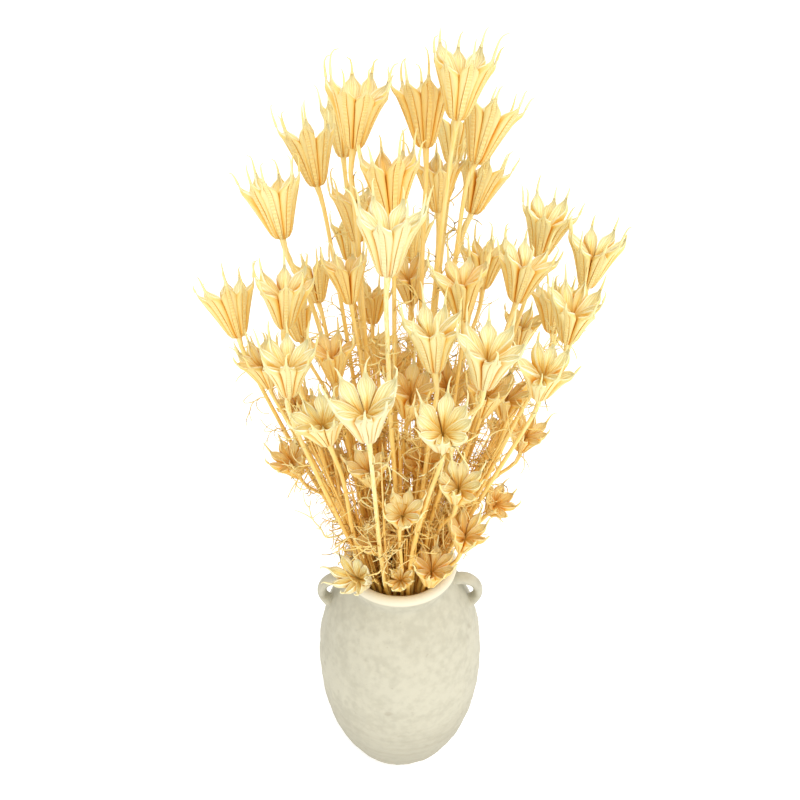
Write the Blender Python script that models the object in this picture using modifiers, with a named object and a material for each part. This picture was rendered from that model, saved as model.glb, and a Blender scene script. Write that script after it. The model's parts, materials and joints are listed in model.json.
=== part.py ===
# A cream stoneware vase with two small ear handles, filled with dried nigella stalks.
# Every stalk stands on the vase's inner floor, leaves through the mouth and ends in
# a seed pod: a funnel of long follicles, each drawn out into a thin awn.
# Metres, +Z up, the origin is the middle of the vase's foot, and the front faces -Y.

from math import cos, pi, radians, sin, tau

import bmesh
import bpy
import numpy as np

MM = 0.001
WELD = 0.001 * MM

CLAY_COLOUR = (0.83, 0.79, 0.66)
CLAY_ROUGHNESS = 0.75
STRAW_COLOUR = (0.86, 0.62, 0.24)
STRAW_ROUGHNESS = 0.6

# The vase
HEIGHT = 238.5 * MM
BELLY_RADIUS = 75 * MM
BELLY_LEVEL = 118 * MM
FOOT_RADIUS = 38 * MM
NECK_RADIUS = 44 * MM
NECK_LEVEL = 220 * MM
LIP_RADIUS = 49 * MM
LIP_ROLL = 4.5 * MM
WALL = 6 * MM
FLOOR = 8 * MM
VASE_SIDES = 32
SHARP_ANGLE = radians(50)
LIP_TURN = np.radians((185, -40))
LIP_POINTS = 7

# How far the side's curves hold their direction at the foot, belly and neck, as
# shares of the width and height that they cross
FOOT_HOLD = (0.59, 0.18)
BELLY_HOLD = (0.48, 0.49)
NECK_HOLD = (0.64, 0.25)

# The ear handles: a roll of clay along part of an ellipse beside the shoulder
EAR_MIDDLE = (54 * MM, 200 * MM)
EAR_REACH = 15 * MM
EAR_RISE = 15 * MM
EAR_ROLL = 4.2 * MM
EAR_START = radians(128)
EAR_END = radians(-62)
EAR_POINTS = 11

# The stalks
STEM_RADIUS = 1.75 * MM
FOOT_GAP = 0.3 * MM
VASE_LEVELS = 4
LEVEL_STEP = 60 * MM
SLICE_STEP = 8 * MM
BUNCH_SPREAD = 125 * MM
NECK_SPREAD = 33 * MM
NECK_CROWDING = 0.8
FOOT_SHARE = 0.85
CROOK = 18 * MM
STEM_SPACING = 5.6 * MM
CROSSING_DRIFT = 0.4 * MM
MOUTH_CLEARANCE = 3.2 * MM
RIM_SLOPE = 1.2
FORK_DROP = 75 * MM
NECK_HOLD_SHARE = 0.4
POD_HOLD_SHARE = 0.3
PATH_POINTS = 60
CROOK_ROOM = 0.3 * LEVEL_STEP

# How stems and pods give way to each other: the share of each overlap that is
# taken up in one round, how far a stem is smoothed, and how hard it is drawn back
SETTLE_ROUNDS = 150
STEM_GIVE = 0.6
POD_GIVE = 0.35
POD_STEM_GIVE = 0.12
STEM_SMOOTHING = 0.12
FIRST_PULL = 0.05
POD_PULL = 0.2
TINY = 1e-9

# A pod of size 1: ridge radius, ridge height, groove radius and groove height of
# each ring, from the stem up the outside, over the rim and down into the funnel
POD_RINGS = (
    (2.3, 0.0, 2.0, 0.0),
    (9.8, 9.5, 6.2, 10.0),
    (17.0, 32.0, 9.6, 25.5),
    (8.6, 25.5, 4.4, 22.0),
)
POD_HEART = 15
POD_SUNK = 1.5 * MM
FOLLICLES_BY_SIZE = ((0.95, 7), (0.79, 6), (0, 5))
POD_BALLS = ((10.5 * MM, 12 * MM), (26.5 * MM, 19.2 * MM))

# An awn: distance from the pod's axis and height of its points, and its thickness
AWN_PATH = ((17.0, 32.0), (18.7, 36.8), (19.4, 43.5))
AWN_THICKNESS = (0.95, 0.55)
AWN_RADIUS = 0.75 * MM
AWN_SWAY = 2.6
AWN_FIRST_SWAY = 0.3
AWN_SPACING = 1.2 * MM
AWN_LENGTHS = (0.8, 1.2)
AWN_CUTS = (1.0, 0.7, 0.45, 0.2)
AWN_STEP = 1.5 * MM
AWN_NEIGHBOURHOOD = 30 * MM
SEED = 12

# Any direction that no pod points in
ACROSS_EVERY_POD = (0.31, 0.95, 0.05)

# Each pod's foot in millimetres: across to the right, towards the front and up,
# then its lean to the right and its nod to the front in degrees, its size, and
# whether it grows on a side branch of a neighbour's stem
PODS = (
    (33, 20, 607, 7, 12, 1.08, False),
    (-28, 10, 588, 8, 12, 1.06, False),
    (16, -10, 583, -2, -2, 1.08, False),
    (49, -20, 570, 20, -4, 1.04, False),
    (-40, -70, 560, -4, -4, 0.94, False),
    (38, -80, 552, 6, -10, 0.92, False),
    (-55, -30, 552, -13, 0, 1.06, False),
    (-5, 30, 549, -4, 4, 1.08, False),
    (-7, 75, 534, 4, 14, 1.06, False),
    (33, -25, 534, -2, 6, 0.94, False),
    (-77, 0, 527, -11, 2, 1.08, False),
    (51, -50, 526, 20, -8, 0.98, False),
    (-43, -30, 514, -4, 4, 0.96, False),
    (99, -20, 505, 6, 14, 1.02, False),
    (124, 0, 493, 6, 14, 1.0, False),
    (77, 20, 491, 10, 12, 0.98, False),
    (-32, 20, 490, -7, -2, 0.84, True),
    (41, 30, 484, -4, 10, 0.98, False),
    (-76, 30, 477, 6, 14, 1.02, False),
    (-40, -92, 472, 0, -14, 0.84, False),
    (62, -50, 468, 4, 4, 0.9, False),
    (111, 32, 467, 2, 14, 1.02, False),
    (18, -35, 462, -6, 14, 0.9, True),
    (26, 62, 461, -7, 8, 1.04, False),
    (48, 74, 459, 4, 16, 1.02, False),
    (-63, -60, 451, -13, -10, 0.9, False),
    (-116, -8, 449, -14, -6, 1.04, False),
    (-71, 62, 444, 4, 12, 0.98, False),
    (-19, 105, 440, -2, 20, 1.04, False),
    (114, -32, 440, 2, 0, 0.92, False),
    (92, 52, 436, 2, 20, 0.96, False),
    (-39, 20, 431, -2, 10, 0.86, False),
    (-22, -72, 427, 0, 0, 0.8, True),
    (27, 88, 421, -2, 28, 0.98, False),
    (-49, 64, 408, -10, 20, 0.94, False),
    (95, -62, 409, 4, 4, 0.84, False),
    (-3, 42, 407, 5, 14, 0.98, False),
    (-5, -22, 398, 1, 2, 0.8, True),
    (-104, -40, 388, -16, 2, 0.86, False),
    (90, -8, 385, -2, 12, 0.88, False),
    (-81, -20, 364, -6, 14, 0.82, False),
    (37, 52, 350, 4, 18, 0.84, False),
    (20, 12, 342, 9, 20, 0.8, True),
    (97, -20, 339, 10, 14, 0.8, False),
    (-76, 8, 336, -16, 18, 0.8, True),
    (-36, 0, 322, -2, 6, 0.76, True),
    (84, -60, 315, 10, 8, 0.72, True),
    (-67, -48, 304, -12, 14, 0.76, False),
    (73, 0, 290, 18, 24, 0.76, False),
    (44, 32, 286, 10, 14, 0.86, False),
    (-15, 22, 273, -10, 20, 0.8, False),
    (7, -10, 268, 3, 14, 0.74, False),
    (18, 24, 247, 6, 12, 0.9, False),
    (-26, 34, 246, -30, 34, 0.84, False),
    (1, 35, 243, -6, 34, 0.7, False),
    (10, -112, 462, 2, -24, 0.98, False),
    (62, -100, 442, 12, -20, 0.94, False),
    (-82, -84, 404, -18, -18, 0.94, False),
    (-20, -104, 366, -6, -30, 0.88, False),
    (50, -84, 344, 12, -26, 0.84, False),
    (-58, 20, 392, -8, 10, 0.8, True),
    (30, 8, 398, 8, 12, 0.82, True),
    (58, 22, 405, 10, 12, 0.86, True),
    (-22, 40, 352, -10, 18, 0.8, True),
    (62, -30, 368, 8, 6, 0.78, True),
    (-52, -30, 340, -12, 8, 0.78, True),
    (8, 56, 330, 4, 20, 0.78, False),
    (-92, 22, 426, -10, 16, 0.84, True),
)


def bezier(start, leave, arrive, end, count):
    """Points of a cubic curve, the first one left out."""
    t = np.linspace(0, 1, count + 1)[1:, None]
    a, b, c, d = (np.array(p, float) for p in (start, leave, arrive, end))
    return (1 - t) ** 3 * a + 3 * (1 - t) ** 2 * t * b + 3 * (1 - t) * t ** 2 * c + t ** 3 * d


def vase_side(inset, bottom, steps):
    """Radius and height up the vase's side, drawn in by the wall for the inside."""
    foot = np.array((FOOT_RADIUS - inset, bottom))
    belly = np.array((BELLY_RADIUS - inset, BELLY_LEVEL))
    neck = np.array((NECK_RADIUS - inset, NECK_LEVEL))
    widening = belly[0] - foot[0]
    closing = belly[0] - neck[0]
    rise = neck[1] - belly[1]
    low = bezier(foot, foot + (FOOT_HOLD[0] * widening, FOOT_HOLD[1] * BELLY_LEVEL),
                 belly - (0, BELLY_HOLD[0] * (belly[1] - bottom)), belly, steps)
    high = bezier(belly, belly + (0, BELLY_HOLD[1] * rise),
                  neck + (NECK_HOLD[0] * closing, -NECK_HOLD[1] * rise), neck, steps)
    return np.vstack((foot, low, high))


def lip_arc():
    """The rolled lip, from the inside over the top to the outside."""
    middle = np.array((LIP_RADIUS - LIP_ROLL, HEIGHT - LIP_ROLL))
    angles = np.linspace(*LIP_TURN, LIP_POINTS)
    return middle + LIP_ROLL * np.column_stack((np.cos(angles), np.sin(angles)))


def add_object(name, data, collection):
    obj = bpy.data.objects.new(name, data)
    collection.objects.link(obj)
    return obj


def make_material(name, colour, roughness):
    material = bpy.data.materials.new(name)
    material.use_nodes = True
    shader = material.node_tree.nodes["Principled BSDF"]
    shader.inputs["Base Color"].default_value = (*colour, 1)
    shader.inputs["Roughness"].default_value = roughness
    return material


def evaluated_mesh(obj):
    """The object's mesh with its modifiers or bevel, in world space and welded."""
    graph = bpy.context.evaluated_depsgraph_get()
    mesh = bpy.data.meshes.new_from_object(obj.evaluated_get(graph))
    mesh.transform(obj.matrix_world)
    edit = bmesh.new()
    edit.from_mesh(mesh)
    bmesh.ops.remove_doubles(edit, verts=edit.verts, dist=WELD)
    edit.to_mesh(mesh)
    edit.free()
    return mesh


def turned_vase(collection):
    """The vase's body: one profile, up the inside and down the outside, turned."""
    inner = vase_side(WALL, FLOOR, 4)
    outer = vase_side(0, 0, 5)[::-1]
    profile = np.vstack(((0, FLOOR), inner, lip_arc(), outer, (0, 0)))
    mesh = bpy.data.meshes.new("vase_profile")
    points = [(x, 0, z) for x, z in profile]
    mesh.from_pydata(points, [(i, i + 1) for i in range(len(points) - 1)], [])
    obj = add_object("vase_profile", mesh, collection)
    screw = obj.modifiers.new("turn", "SCREW")
    screw.steps = VASE_SIDES
    screw.render_steps = VASE_SIDES
    screw.use_merge_vertices = True
    screw.merge_threshold = 0.0001
    return obj


def ear_points(side):
    """The middle of the clay roll, from the neck out and down to the shoulder."""
    angles = np.linspace(EAR_START, EAR_END, EAR_POINTS)
    x = EAR_MIDDLE[0] + EAR_REACH * np.cos(angles)
    z = EAR_MIDDLE[1] + EAR_RISE * np.sin(angles)
    return np.column_stack((side * x, np.zeros(EAR_POINTS), z))


def tube(name, line, collection, thickness=0, profile=None):
    """A curve object along a line, round or drawn along it with a given outline."""
    curve = bpy.data.curves.new(name, "CURVE")
    curve.dimensions = "3D"
    curve.use_fill_caps = True
    if profile:
        curve.bevel_mode = "OBJECT"
        curve.bevel_object = profile
    else:
        curve.bevel_depth = thickness
        curve.bevel_resolution = 1
    spline = curve.splines.new("POLY")
    spline.points.add(len(line) - 1)
    for knot, place in zip(spline.points, line):
        knot.co = (*place, 1)
    return add_object(name, curve, collection)


def join_all(name, first, others, material, collection):
    """One solid of a mesh object and others that are sunk into it."""
    joining = bpy.data.collections.new(name + "_joining")
    bpy.context.scene.collection.children.link(joining)
    for mesh in others:
        add_object(name + "_piece", mesh, joining)
    body = add_object(name, first, collection)
    union = body.modifiers.new("join", "BOOLEAN")
    union.operation = "UNION"
    union.operand_type = "COLLECTION"
    union.collection = joining
    union.solver = "MANIFOLD"
    joined = evaluated_mesh(body)
    body.modifiers.remove(union)
    body.data = joined
    joined.name = name
    joined.materials.clear()
    joined.materials.append(material)
    for piece in list(joining.objects):
        bpy.data.objects.remove(piece)
    bpy.data.collections.remove(joining)
    return body


def make_vase(collection):
    body = turned_vase(collection)
    pieces = []
    for side in (-1, 1):
        ear = tube("ear", ear_points(side), collection, thickness=EAR_ROLL)
        pieces.append(evaluated_mesh(ear))
        bpy.data.objects.remove(ear)
    clay = make_material("cream_stoneware", CLAY_COLOUR, CLAY_ROUGHNESS)
    vase = join_all("vase", evaluated_mesh(body), pieces, clay, collection)
    bpy.data.objects.remove(body)
    vase.data.shade_smooth()
    vase.data.set_sharp_from_angle(angle=SHARP_ANGLE)
    return vase


def kept_inside(flat, height):
    """Places drawn in to the room inside the vase, or inside a cone above its mouth."""
    inside = vase_side(WALL, FLOOR, 12)
    room = np.interp(height, inside[:, 1], inside[:, 0]) - MOUTH_CLEARANCE
    room = room + RIM_SLOPE * np.clip(height - HEIGHT, 0, None)
    far = np.hypot(flat[..., 0], flat[..., 1]) + TINY
    return flat * np.minimum(1, room / far)[..., None]


def shared_push(weights, push):
    """The push on each knot from the slices near it."""
    pressed = (np.abs(push).sum(axis=2) > 0).astype(float)
    shares = np.einsum("isk,is->ik", weights, pressed)
    return np.einsum("isk,isc->ikc", weights, push) / np.maximum(shares, 1)[..., None]


class Bunch:
    """Where every stalk runs: its knots from the floor up, and its pod's place."""

    def __init__(self):
        table = np.array([row[:6] for row in PODS], float)
        lean, nod = np.radians(table[:, 3]), np.radians(table[:, 4])
        self.count = len(PODS)
        self.size = table[:, 5]
        self.base = table[:, :3] * MM * (1, -1, 1)
        self.axis = np.column_stack((np.sin(lean), -np.sin(nod) * np.cos(lean),
                                     np.cos(nod) * np.cos(lean)))
        self.floor = FLOOR + FOOT_GAP
        inside = np.linspace(self.floor, NECK_LEVEL, VASE_LEVELS)
        outside = np.arange(HEIGHT, self.base[:, 2].max(), LEVEL_STEP)
        self.levels = np.concatenate((inside, outside))
        self.crook_height = self.base[:, 2] - CROOK * self.axis[:, 2]
        below = self.levels[None] < self.crook_height[:, None] - CROOK_ROOM
        self.knots = below.sum(axis=1)
        self.height = self.knot_heights()
        self.side_branch = [row[6] for row in PODS]
        self.place = np.array([self.first_path(i) for i in range(self.count)])
        self.parent, self.fork = self.choose_parents()
        self.wish = self.place.copy()

    def knot_heights(self):
        """Heights of a stem's knots: its levels, its crook, then its pod's foot."""
        top = len(self.levels) + 1
        height = np.repeat(self.base[:, 2:], top + 1, axis=1)
        for i, count in enumerate(self.knots):
            height[i, :count] = self.levels[:count]
            height[i, count] = self.crook_height[i]
        return height

    def first_path(self, i):
        """A stem's path before it gives way to its neighbours."""
        base, axis = self.base[i], self.axis[i]
        spread = np.hypot(*base[:2])
        reach = NECK_SPREAD * min(1, spread / BUNCH_SPREAD) ** NECK_CROWDING
        neck = np.append(base[:2] / spread * reach, NECK_LEVEL)
        foot = np.append(neck[:2] * FOOT_SHARE, self.floor)
        reach = np.linalg.norm(base - neck)
        along = (neck - foot) / np.linalg.norm(neck - foot)
        curve = bezier(neck, neck + along * reach * NECK_HOLD_SHARE,
                       base - axis * reach * POD_HOLD_SHARE, base, PATH_POINTS)
        curve = np.vstack((foot, neck, curve))
        columns = [np.interp(self.height[i], curve[:, 2], curve[:, c]) for c in (0, 1)]
        return np.column_stack(columns)

    def choose_parents(self):
        """Each side branch leaves the stem that passes nearest below its pod."""
        parent = np.arange(self.count)
        fork = np.zeros(self.count, int)
        for i in range(self.count):
            if not self.side_branch[i]:
                continue
            fork[i] = np.searchsorted(self.levels, self.base[i, 2] - FORK_DROP) - 1
            near = []
            for j in range(self.count):
                if self.side_branch[j] or self.knots[j] < fork[i] + 2:
                    continue
                gap = np.hypot(*(self.place[i, fork[i]] - self.place[j, fork[i]]))
                near.append((gap, j))
            parent[i] = min(near)[1]
        return parent, fork

    def slice_weights(self):
        """How much each knot counts in a stem's place at each thin slice."""
        slices = np.arange(self.floor, self.base[:, 2].max(), SLICE_STEP)
        weights = np.zeros((self.count, len(slices), self.height.shape[1]))
        for i in range(self.count):
            last = self.knots[i] + 2
            for k in range(last):
                tip = np.zeros(last)
                tip[k] = 1
                weights[i, :, k] = np.interp(slices, self.height[i, :last], tip, right=0)
            weights[i, slices > self.base[i, 2]] = 0
        return slices, weights

    def balls(self):
        """Two balls that each pod's lower and upper half lie in."""
        shift = np.array([ball[0] for ball in POD_BALLS])
        radius = np.array([ball[1] for ball in POD_BALLS])
        foot = self.base[:, None]
        middle = foot + self.axis[:, None] * shift[None, :, None] * self.size[:, None, None]
        return middle, radius[None] * self.size[:, None]

    def push_stems(self, slices, weights, alive, apart):
        """Moves that part stems which run too close in a slice."""
        at = np.einsum("isk,ikc->isc", weights, self.place)
        gap = at[:, None] - at[None]
        far = np.hypot(gap[..., 0], gap[..., 1]) + TINY
        both = alive[:, None] & alive[None] & apart[..., None]
        first, second, level = np.nonzero(both & (far < STEM_SPACING))
        gaps, far = gap[first, second, level], far[first, second, level]
        upper = np.minimum(level + 1, len(slices) - 1)
        drift = gap[first, second, upper] - gap[first, second, np.maximum(level - 1, 0)]
        speed = (drift ** 2).sum(axis=1) + CROSSING_DRIFT ** 2
        along = (gaps * drift).sum(axis=1) / speed
        way = gaps - drift * along[:, None] + 1e-6
        way /= np.linalg.norm(way, axis=1)[:, None]
        push = np.zeros_like(at)
        np.add.at(push, (first, level), way * (STEM_SPACING - far)[:, None])
        return shared_push(weights, push) * STEM_GIVE

    def push_pods(self, slices, weights, alive, apart):
        """Moves that part pods from pods, and pods from passing stems."""
        middle, radius = self.balls()
        own = middle.reshape(-1, 3)
        reach = radius.reshape(-1)
        owner = np.repeat(np.arange(self.count), len(POD_BALLS))
        gap = own[:, None] - own[None]
        far = np.linalg.norm(gap, axis=2) + TINY
        need = reach[:, None] + reach[None] + AWN_SPACING
        short = np.where(owner[:, None] != owner[None], np.clip(need - far, 0, None), 0)
        move = (gap[..., :2] / far[..., None] * short[..., None]).sum(axis=1) * POD_GIVE
        pods = np.zeros((self.count, 2))
        np.add.at(pods, owner, move)

        at = np.einsum("isk,ikc->isc", weights, self.place)
        flat = at[None] - own[:, None, None, :2]
        drop = slices[None] - own[:, 2:]
        far = np.sqrt((flat ** 2).sum(axis=3) + drop[:, None] ** 2) + TINY
        need = reach + STEM_RADIUS + AWN_SPACING
        other = (owner[:, None] != np.arange(self.count)[None])[..., None] & alive[None]
        short = np.where(other, np.clip(need[:, None, None] - far, 0, None), 0)
        side = np.hypot(flat[..., 0], flat[..., 1]) + TINY
        push = flat / side[..., None] * short[..., None]
        stems = shared_push(weights, push.sum(axis=0)) * STEM_GIVE
        np.add.at(pods, owner, -push.sum(axis=(1, 2)) * POD_STEM_GIVE)
        return stems, pods

    def hold(self, start, pull):
        """Keep pods near their places, crooks under them and stems in the vase."""
        for i in range(self.count):
            n = self.knots[i]
            shift = self.base[i, :2] - start[i, :2]
            self.place[i, n + 1:] = self.base[i, :2]
            self.place[i, n] = self.base[i, :2] - CROOK * self.axis[i, :2]
            rise = self.height[i, :n, None] / self.base[i, 2]
            goal = self.wish[i, :n] + shift * rise ** 3
            self.place[i, :n] += pull * (goal - self.place[i, :n])
            middle = 0.5 * (self.place[i, :n - 1] + self.place[i, 2:n + 1])
            self.place[i, 1:n] += STEM_SMOOTHING * (middle - self.place[i, 1:n])
        self.place = kept_inside(self.place, self.height)
        self.base[:, :2] = kept_inside(self.base[:, :2], self.base[:, 2])
        for i in range(self.count):
            if self.parent[i] != i:
                own = self.parent[i]
                self.place[i, :self.fork[i] + 1] = self.place[own, :self.fork[i] + 1]

    def settle(self):
        """Let stems and pods give way until none runs through another."""
        slices, weights = self.slice_weights()
        alive = slices[None] <= self.base[:, 2:]
        family = self.parent[:, None] == self.parent[None]
        apart = ~family
        start = self.base.copy()
        for pull in np.linspace(FIRST_PULL, 0, SETTLE_ROUNDS):
            self.hold(start, pull)
            stems = self.push_stems(slices, weights, alive, apart)
            passing, pods = self.push_pods(slices, weights, alive, apart)
            self.place += stems + passing
            back = POD_PULL * pull * (start[:, :2] - self.base[:, :2])
            self.base[:, :2] += pods + back
        self.hold(start, 0)


def settled_bunch():
    bunch = Bunch()
    bunch.settle()
    return bunch


def stem_line(bunch, i):
    """A stem's points from the floor, or from its fork, into its pod."""
    first = bunch.fork[i] if bunch.parent[i] != i else 0
    last = bunch.knots[i] + 2
    line = np.column_stack((bunch.place[i, first:last], bunch.height[i, first:last]))
    line[-1] = line[-1] + bunch.axis[i] * POD_SUNK
    return line


def pod_frame(axis):
    """Two directions square to a pod's axis."""
    side = np.cross(axis, ACROSS_EVERY_POD)
    side /= np.linalg.norm(side)
    return side, np.cross(axis, side)


def pod_point(bunch, i, angle, radius, up):
    """A point beside a pod's axis, given in millimetres of a pod of size 1."""
    side, front = pod_frame(bunch.axis[i])
    out = side * cos(angle) + front * sin(angle)
    return bunch.base[i] + (out * radius + bunch.axis[i] * up) * MM * bunch.size[i]


def awn_line(bunch, i, angle, sway, share):
    """An awn's points: from a ridge's tip, up and a little to one side."""
    across = pod_point(bunch, i, angle + pi / 2, 1, 0) - bunch.base[i]
    points = [pod_point(bunch, i, angle, *place) for place in AWN_PATH]
    points[1] = points[1] + across * sway * AWN_FIRST_SWAY
    points[2] = points[2] + across * sway
    return points[0] + (np.array(points) - points[0]) * share


class PodBuilder:
    """A ribbed funnel with an awn on every ridge, raised by the pod's formula."""

    def __init__(self, bunch, i, turn, awns):
        self.bunch = bunch
        self.i = i
        self.turn = turn
        self.awns = awns
        self.ring = 2 * len(awns)
        self.points = []
        self.faces = []

    def put(self, point):
        self.points.append(tuple(point))
        return len(self.points) - 1

    def at(self, k, radius, up):
        return pod_point(self.bunch, self.i, self.turn + tau * k / self.ring, radius, up)

    def row(self, ridge, ridge_up, groove, groove_up):
        """A ring of points, ridges and grooves by turns."""
        places = ((ridge, ridge_up), (groove, groove_up))
        return [self.put(self.at(k, *places[k % 2])) for k in range(self.ring)]

    def triangle_round(self, k, point, radius):
        """Three points round an awn: its outer edge, its left and its right."""
        out = (self.at(k, 1, 0) - self.bunch.base[self.i]) * radius
        across = (self.at(k + self.ring / 4, 1, 0) - self.bunch.base[self.i]) * radius
        corners = [out * cos(turn) + across * sin(turn) for turn in (0, -tau / 3, tau / 3)]
        return [self.put(point + corner) for corner in corners]

    def band(self, low, high):
        for k in range(self.ring):
            n = (k + 1) % self.ring
            self.faces.append((low[k], low[n], high[n], high[k]))

    def fan(self, row, middle):
        for k in range(self.ring):
            self.faces.append((row[k], row[(k + 1) % self.ring], middle))

    def add_rim(self, low, inner, grooves):
        """The free tips between the grooves: each is the foot of its awn."""
        for k in range(0, self.ring, 2):
            before, after = (k - 1) % self.ring, (k + 1) % self.ring
            groove, next_groove = grooves[before // 2], grooves[after // 2]
            line = self.awns[k // 2]
            out, left, right = self.triangle_round(k, line[0], AWN_THICKNESS[0])
            self.faces += [
                (low[before], low[k], out, left, groove),
                (low[k], low[after], next_groove, right, out),
                (groove, left, inner[k], inner[before]),
                (right, next_groove, inner[after], inner[k]),
                (left, right, inner[k]),
            ]
            self.add_awn(k, line, (out, left, right))

    def add_awn(self, k, line, foot):
        middle = self.triangle_round(k, line[1], AWN_THICKNESS[1])
        tip = self.put(line[2])
        for low, high in ((0, 2), (2, 1), (1, 0)):
            self.faces.append((foot[low], foot[high], middle[high], middle[low]))
            self.faces.append((middle[low], middle[high], tip))

    def mesh(self):
        foot_ring, belly_ring, rim_ring, inner_ring = POD_RINGS
        foot, belly, inner = self.row(*foot_ring), self.row(*belly_ring), self.row(*inner_ring)
        grooves = [self.put(self.at(k, *rim_ring[2:])) for k in range(1, self.ring, 2)]
        self.fan(foot[::-1], self.put(self.at(0, 0, 0)))
        self.band(foot, belly)
        self.add_rim(belly, inner, grooves)
        self.fan(inner, self.put(self.at(0, 0, POD_HEART)))
        mesh = bpy.data.meshes.new("pod")
        mesh.from_pydata(self.points, [], self.faces)
        mesh.update()
        return mesh


def spread_points(line, step):
    """Points along a line, close enough together to measure from."""
    points = []
    for start, end in zip(line[:-1], line[1:]):
        count = max(2, int(np.linalg.norm(end - start) / step) + 1)
        points.append(start + (end - start) * np.linspace(0, 1, count)[:, None])
    return np.vstack(points)


class Clearance:
    """Keeps what is already placed, to test new awns against it."""

    def __init__(self, bunch):
        self.family = bunch.parent
        self.middle, self.radius = bunch.balls()
        self.points = []
        self.owners = []
        for i in range(bunch.count):
            self.add(stem_line(bunch, i), i, STEM_RADIUS)

    def add(self, line, owner, radius):
        points = spread_points(line, AWN_STEP)
        self.points.append(np.column_stack((points, np.full(len(points), radius))))
        self.owners.append(np.full(len(points), owner))

    def is_free(self, line, owner):
        tested = spread_points(line, AWN_STEP)
        for j in range(len(self.middle)):
            if j == owner:
                continue
            for ball in range(2):
                far = np.linalg.norm(tested - self.middle[j, ball], axis=1).min()
                if far < self.radius[j, ball] + AWN_SPACING:
                    return False
        placed = np.vstack(self.points)
        others = placed[np.concatenate(self.owners) != owner]
        near = np.abs(others[:, :3] - tested.mean(axis=0)).max(axis=1) < AWN_NEIGHBOURHOOD
        others = others[near]
        if len(others) == 0:
            return True
        far = np.linalg.norm(others[:, None, :3] - tested[None], axis=2)
        return bool((far - others[:, 3:]).min() > AWN_RADIUS + AWN_SPACING)


def place_awns(bunch):
    """Awns on every ridge, cut short where a neighbour is in the way."""
    draw = np.random.default_rng(SEED)
    clearance = Clearance(bunch)
    awns = []
    for i in range(bunch.count):
        follicles = next(n for size, n in FOLLICLES_BY_SIZE if bunch.size[i] >= size)
        turn = draw.uniform(0, tau)
        lines = []
        for k in range(follicles):
            angle = turn + tau * k / follicles
            sway = draw.uniform(-1, 1) * AWN_SWAY
            length = draw.uniform(*AWN_LENGTHS)
            for cut in AWN_CUTS:
                line = awn_line(bunch, i, angle, sway, cut * length)
                if clearance.is_free(line[1:], i):
                    break
            lines.append(line)
            clearance.add(line, i, AWN_RADIUS)
        awns.append((turn, lines))
    return awns


def triangle_profile(radius, collection):
    """The three-sided outline that the stems are drawn along their paths with."""
    curve = bpy.data.curves.new("three_sided", "CURVE")
    curve.dimensions = "2D"
    spline = curve.splines.new("POLY")
    spline.points.add(2)
    for k, knot in enumerate(spline.points):
        knot.co = (radius * cos(tau * k / 3), -radius * sin(tau * k / 3), 0, 1)
    spline.use_cyclic_u = True
    return add_object("three_sided", curve, collection)


def make_stalk(name, members, bunch, awns, profile, straw, collection):
    """A stem with its pod, and with its side branches and theirs, as one solid."""
    meshes = []
    for i in members:
        meshes.append(PodBuilder(bunch, i, *awns[i]).mesh())
        stem = tube(name + "_stem", stem_line(bunch, i), collection, profile=profile)
        meshes.append(evaluated_mesh(stem))
        bpy.data.objects.remove(stem)
    return join_all(name, meshes[0], meshes[1:], straw, collection)


def build():
    for obj in list(bpy.data.objects):
        bpy.data.objects.remove(obj)
    collection = bpy.data.collections.new("nigella_vase")
    bpy.context.scene.collection.children.link(collection)
    make_vase(collection)
    bunch = settled_bunch()
    awns = place_awns(bunch)
    straw = make_material("dried_straw", STRAW_COLOUR, STRAW_ROUGHNESS)
    profile = triangle_profile(STEM_RADIUS, collection)
    number = 0
    for i in range(bunch.count):
        if bunch.parent[i] != i:
            continue
        number += 1
        members = [j for j in range(bunch.count) if bunch.parent[j] == i]
        members.sort(key=lambda j: j != i)
        make_stalk(f"stalk_{number:02d}", members, bunch, awns, profile, straw, collection)
    bpy.data.objects.remove(profile)


build()
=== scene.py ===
# %% [markdown]
# # A stoneware vase of dried nigella
#
# Dried nigella is sold bleached to the colour of straw. Each stalk is a thin ribbed stem
# with one seed pod at its end, and sometimes a smaller pod on a side branch. The lesson
# builds the looks of such a bunch and of the small cream vase that it stands in.
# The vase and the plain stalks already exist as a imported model. Its sizes and places
# are fixed, so this script grows finer pieces exactly where the plain ones stand.

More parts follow.
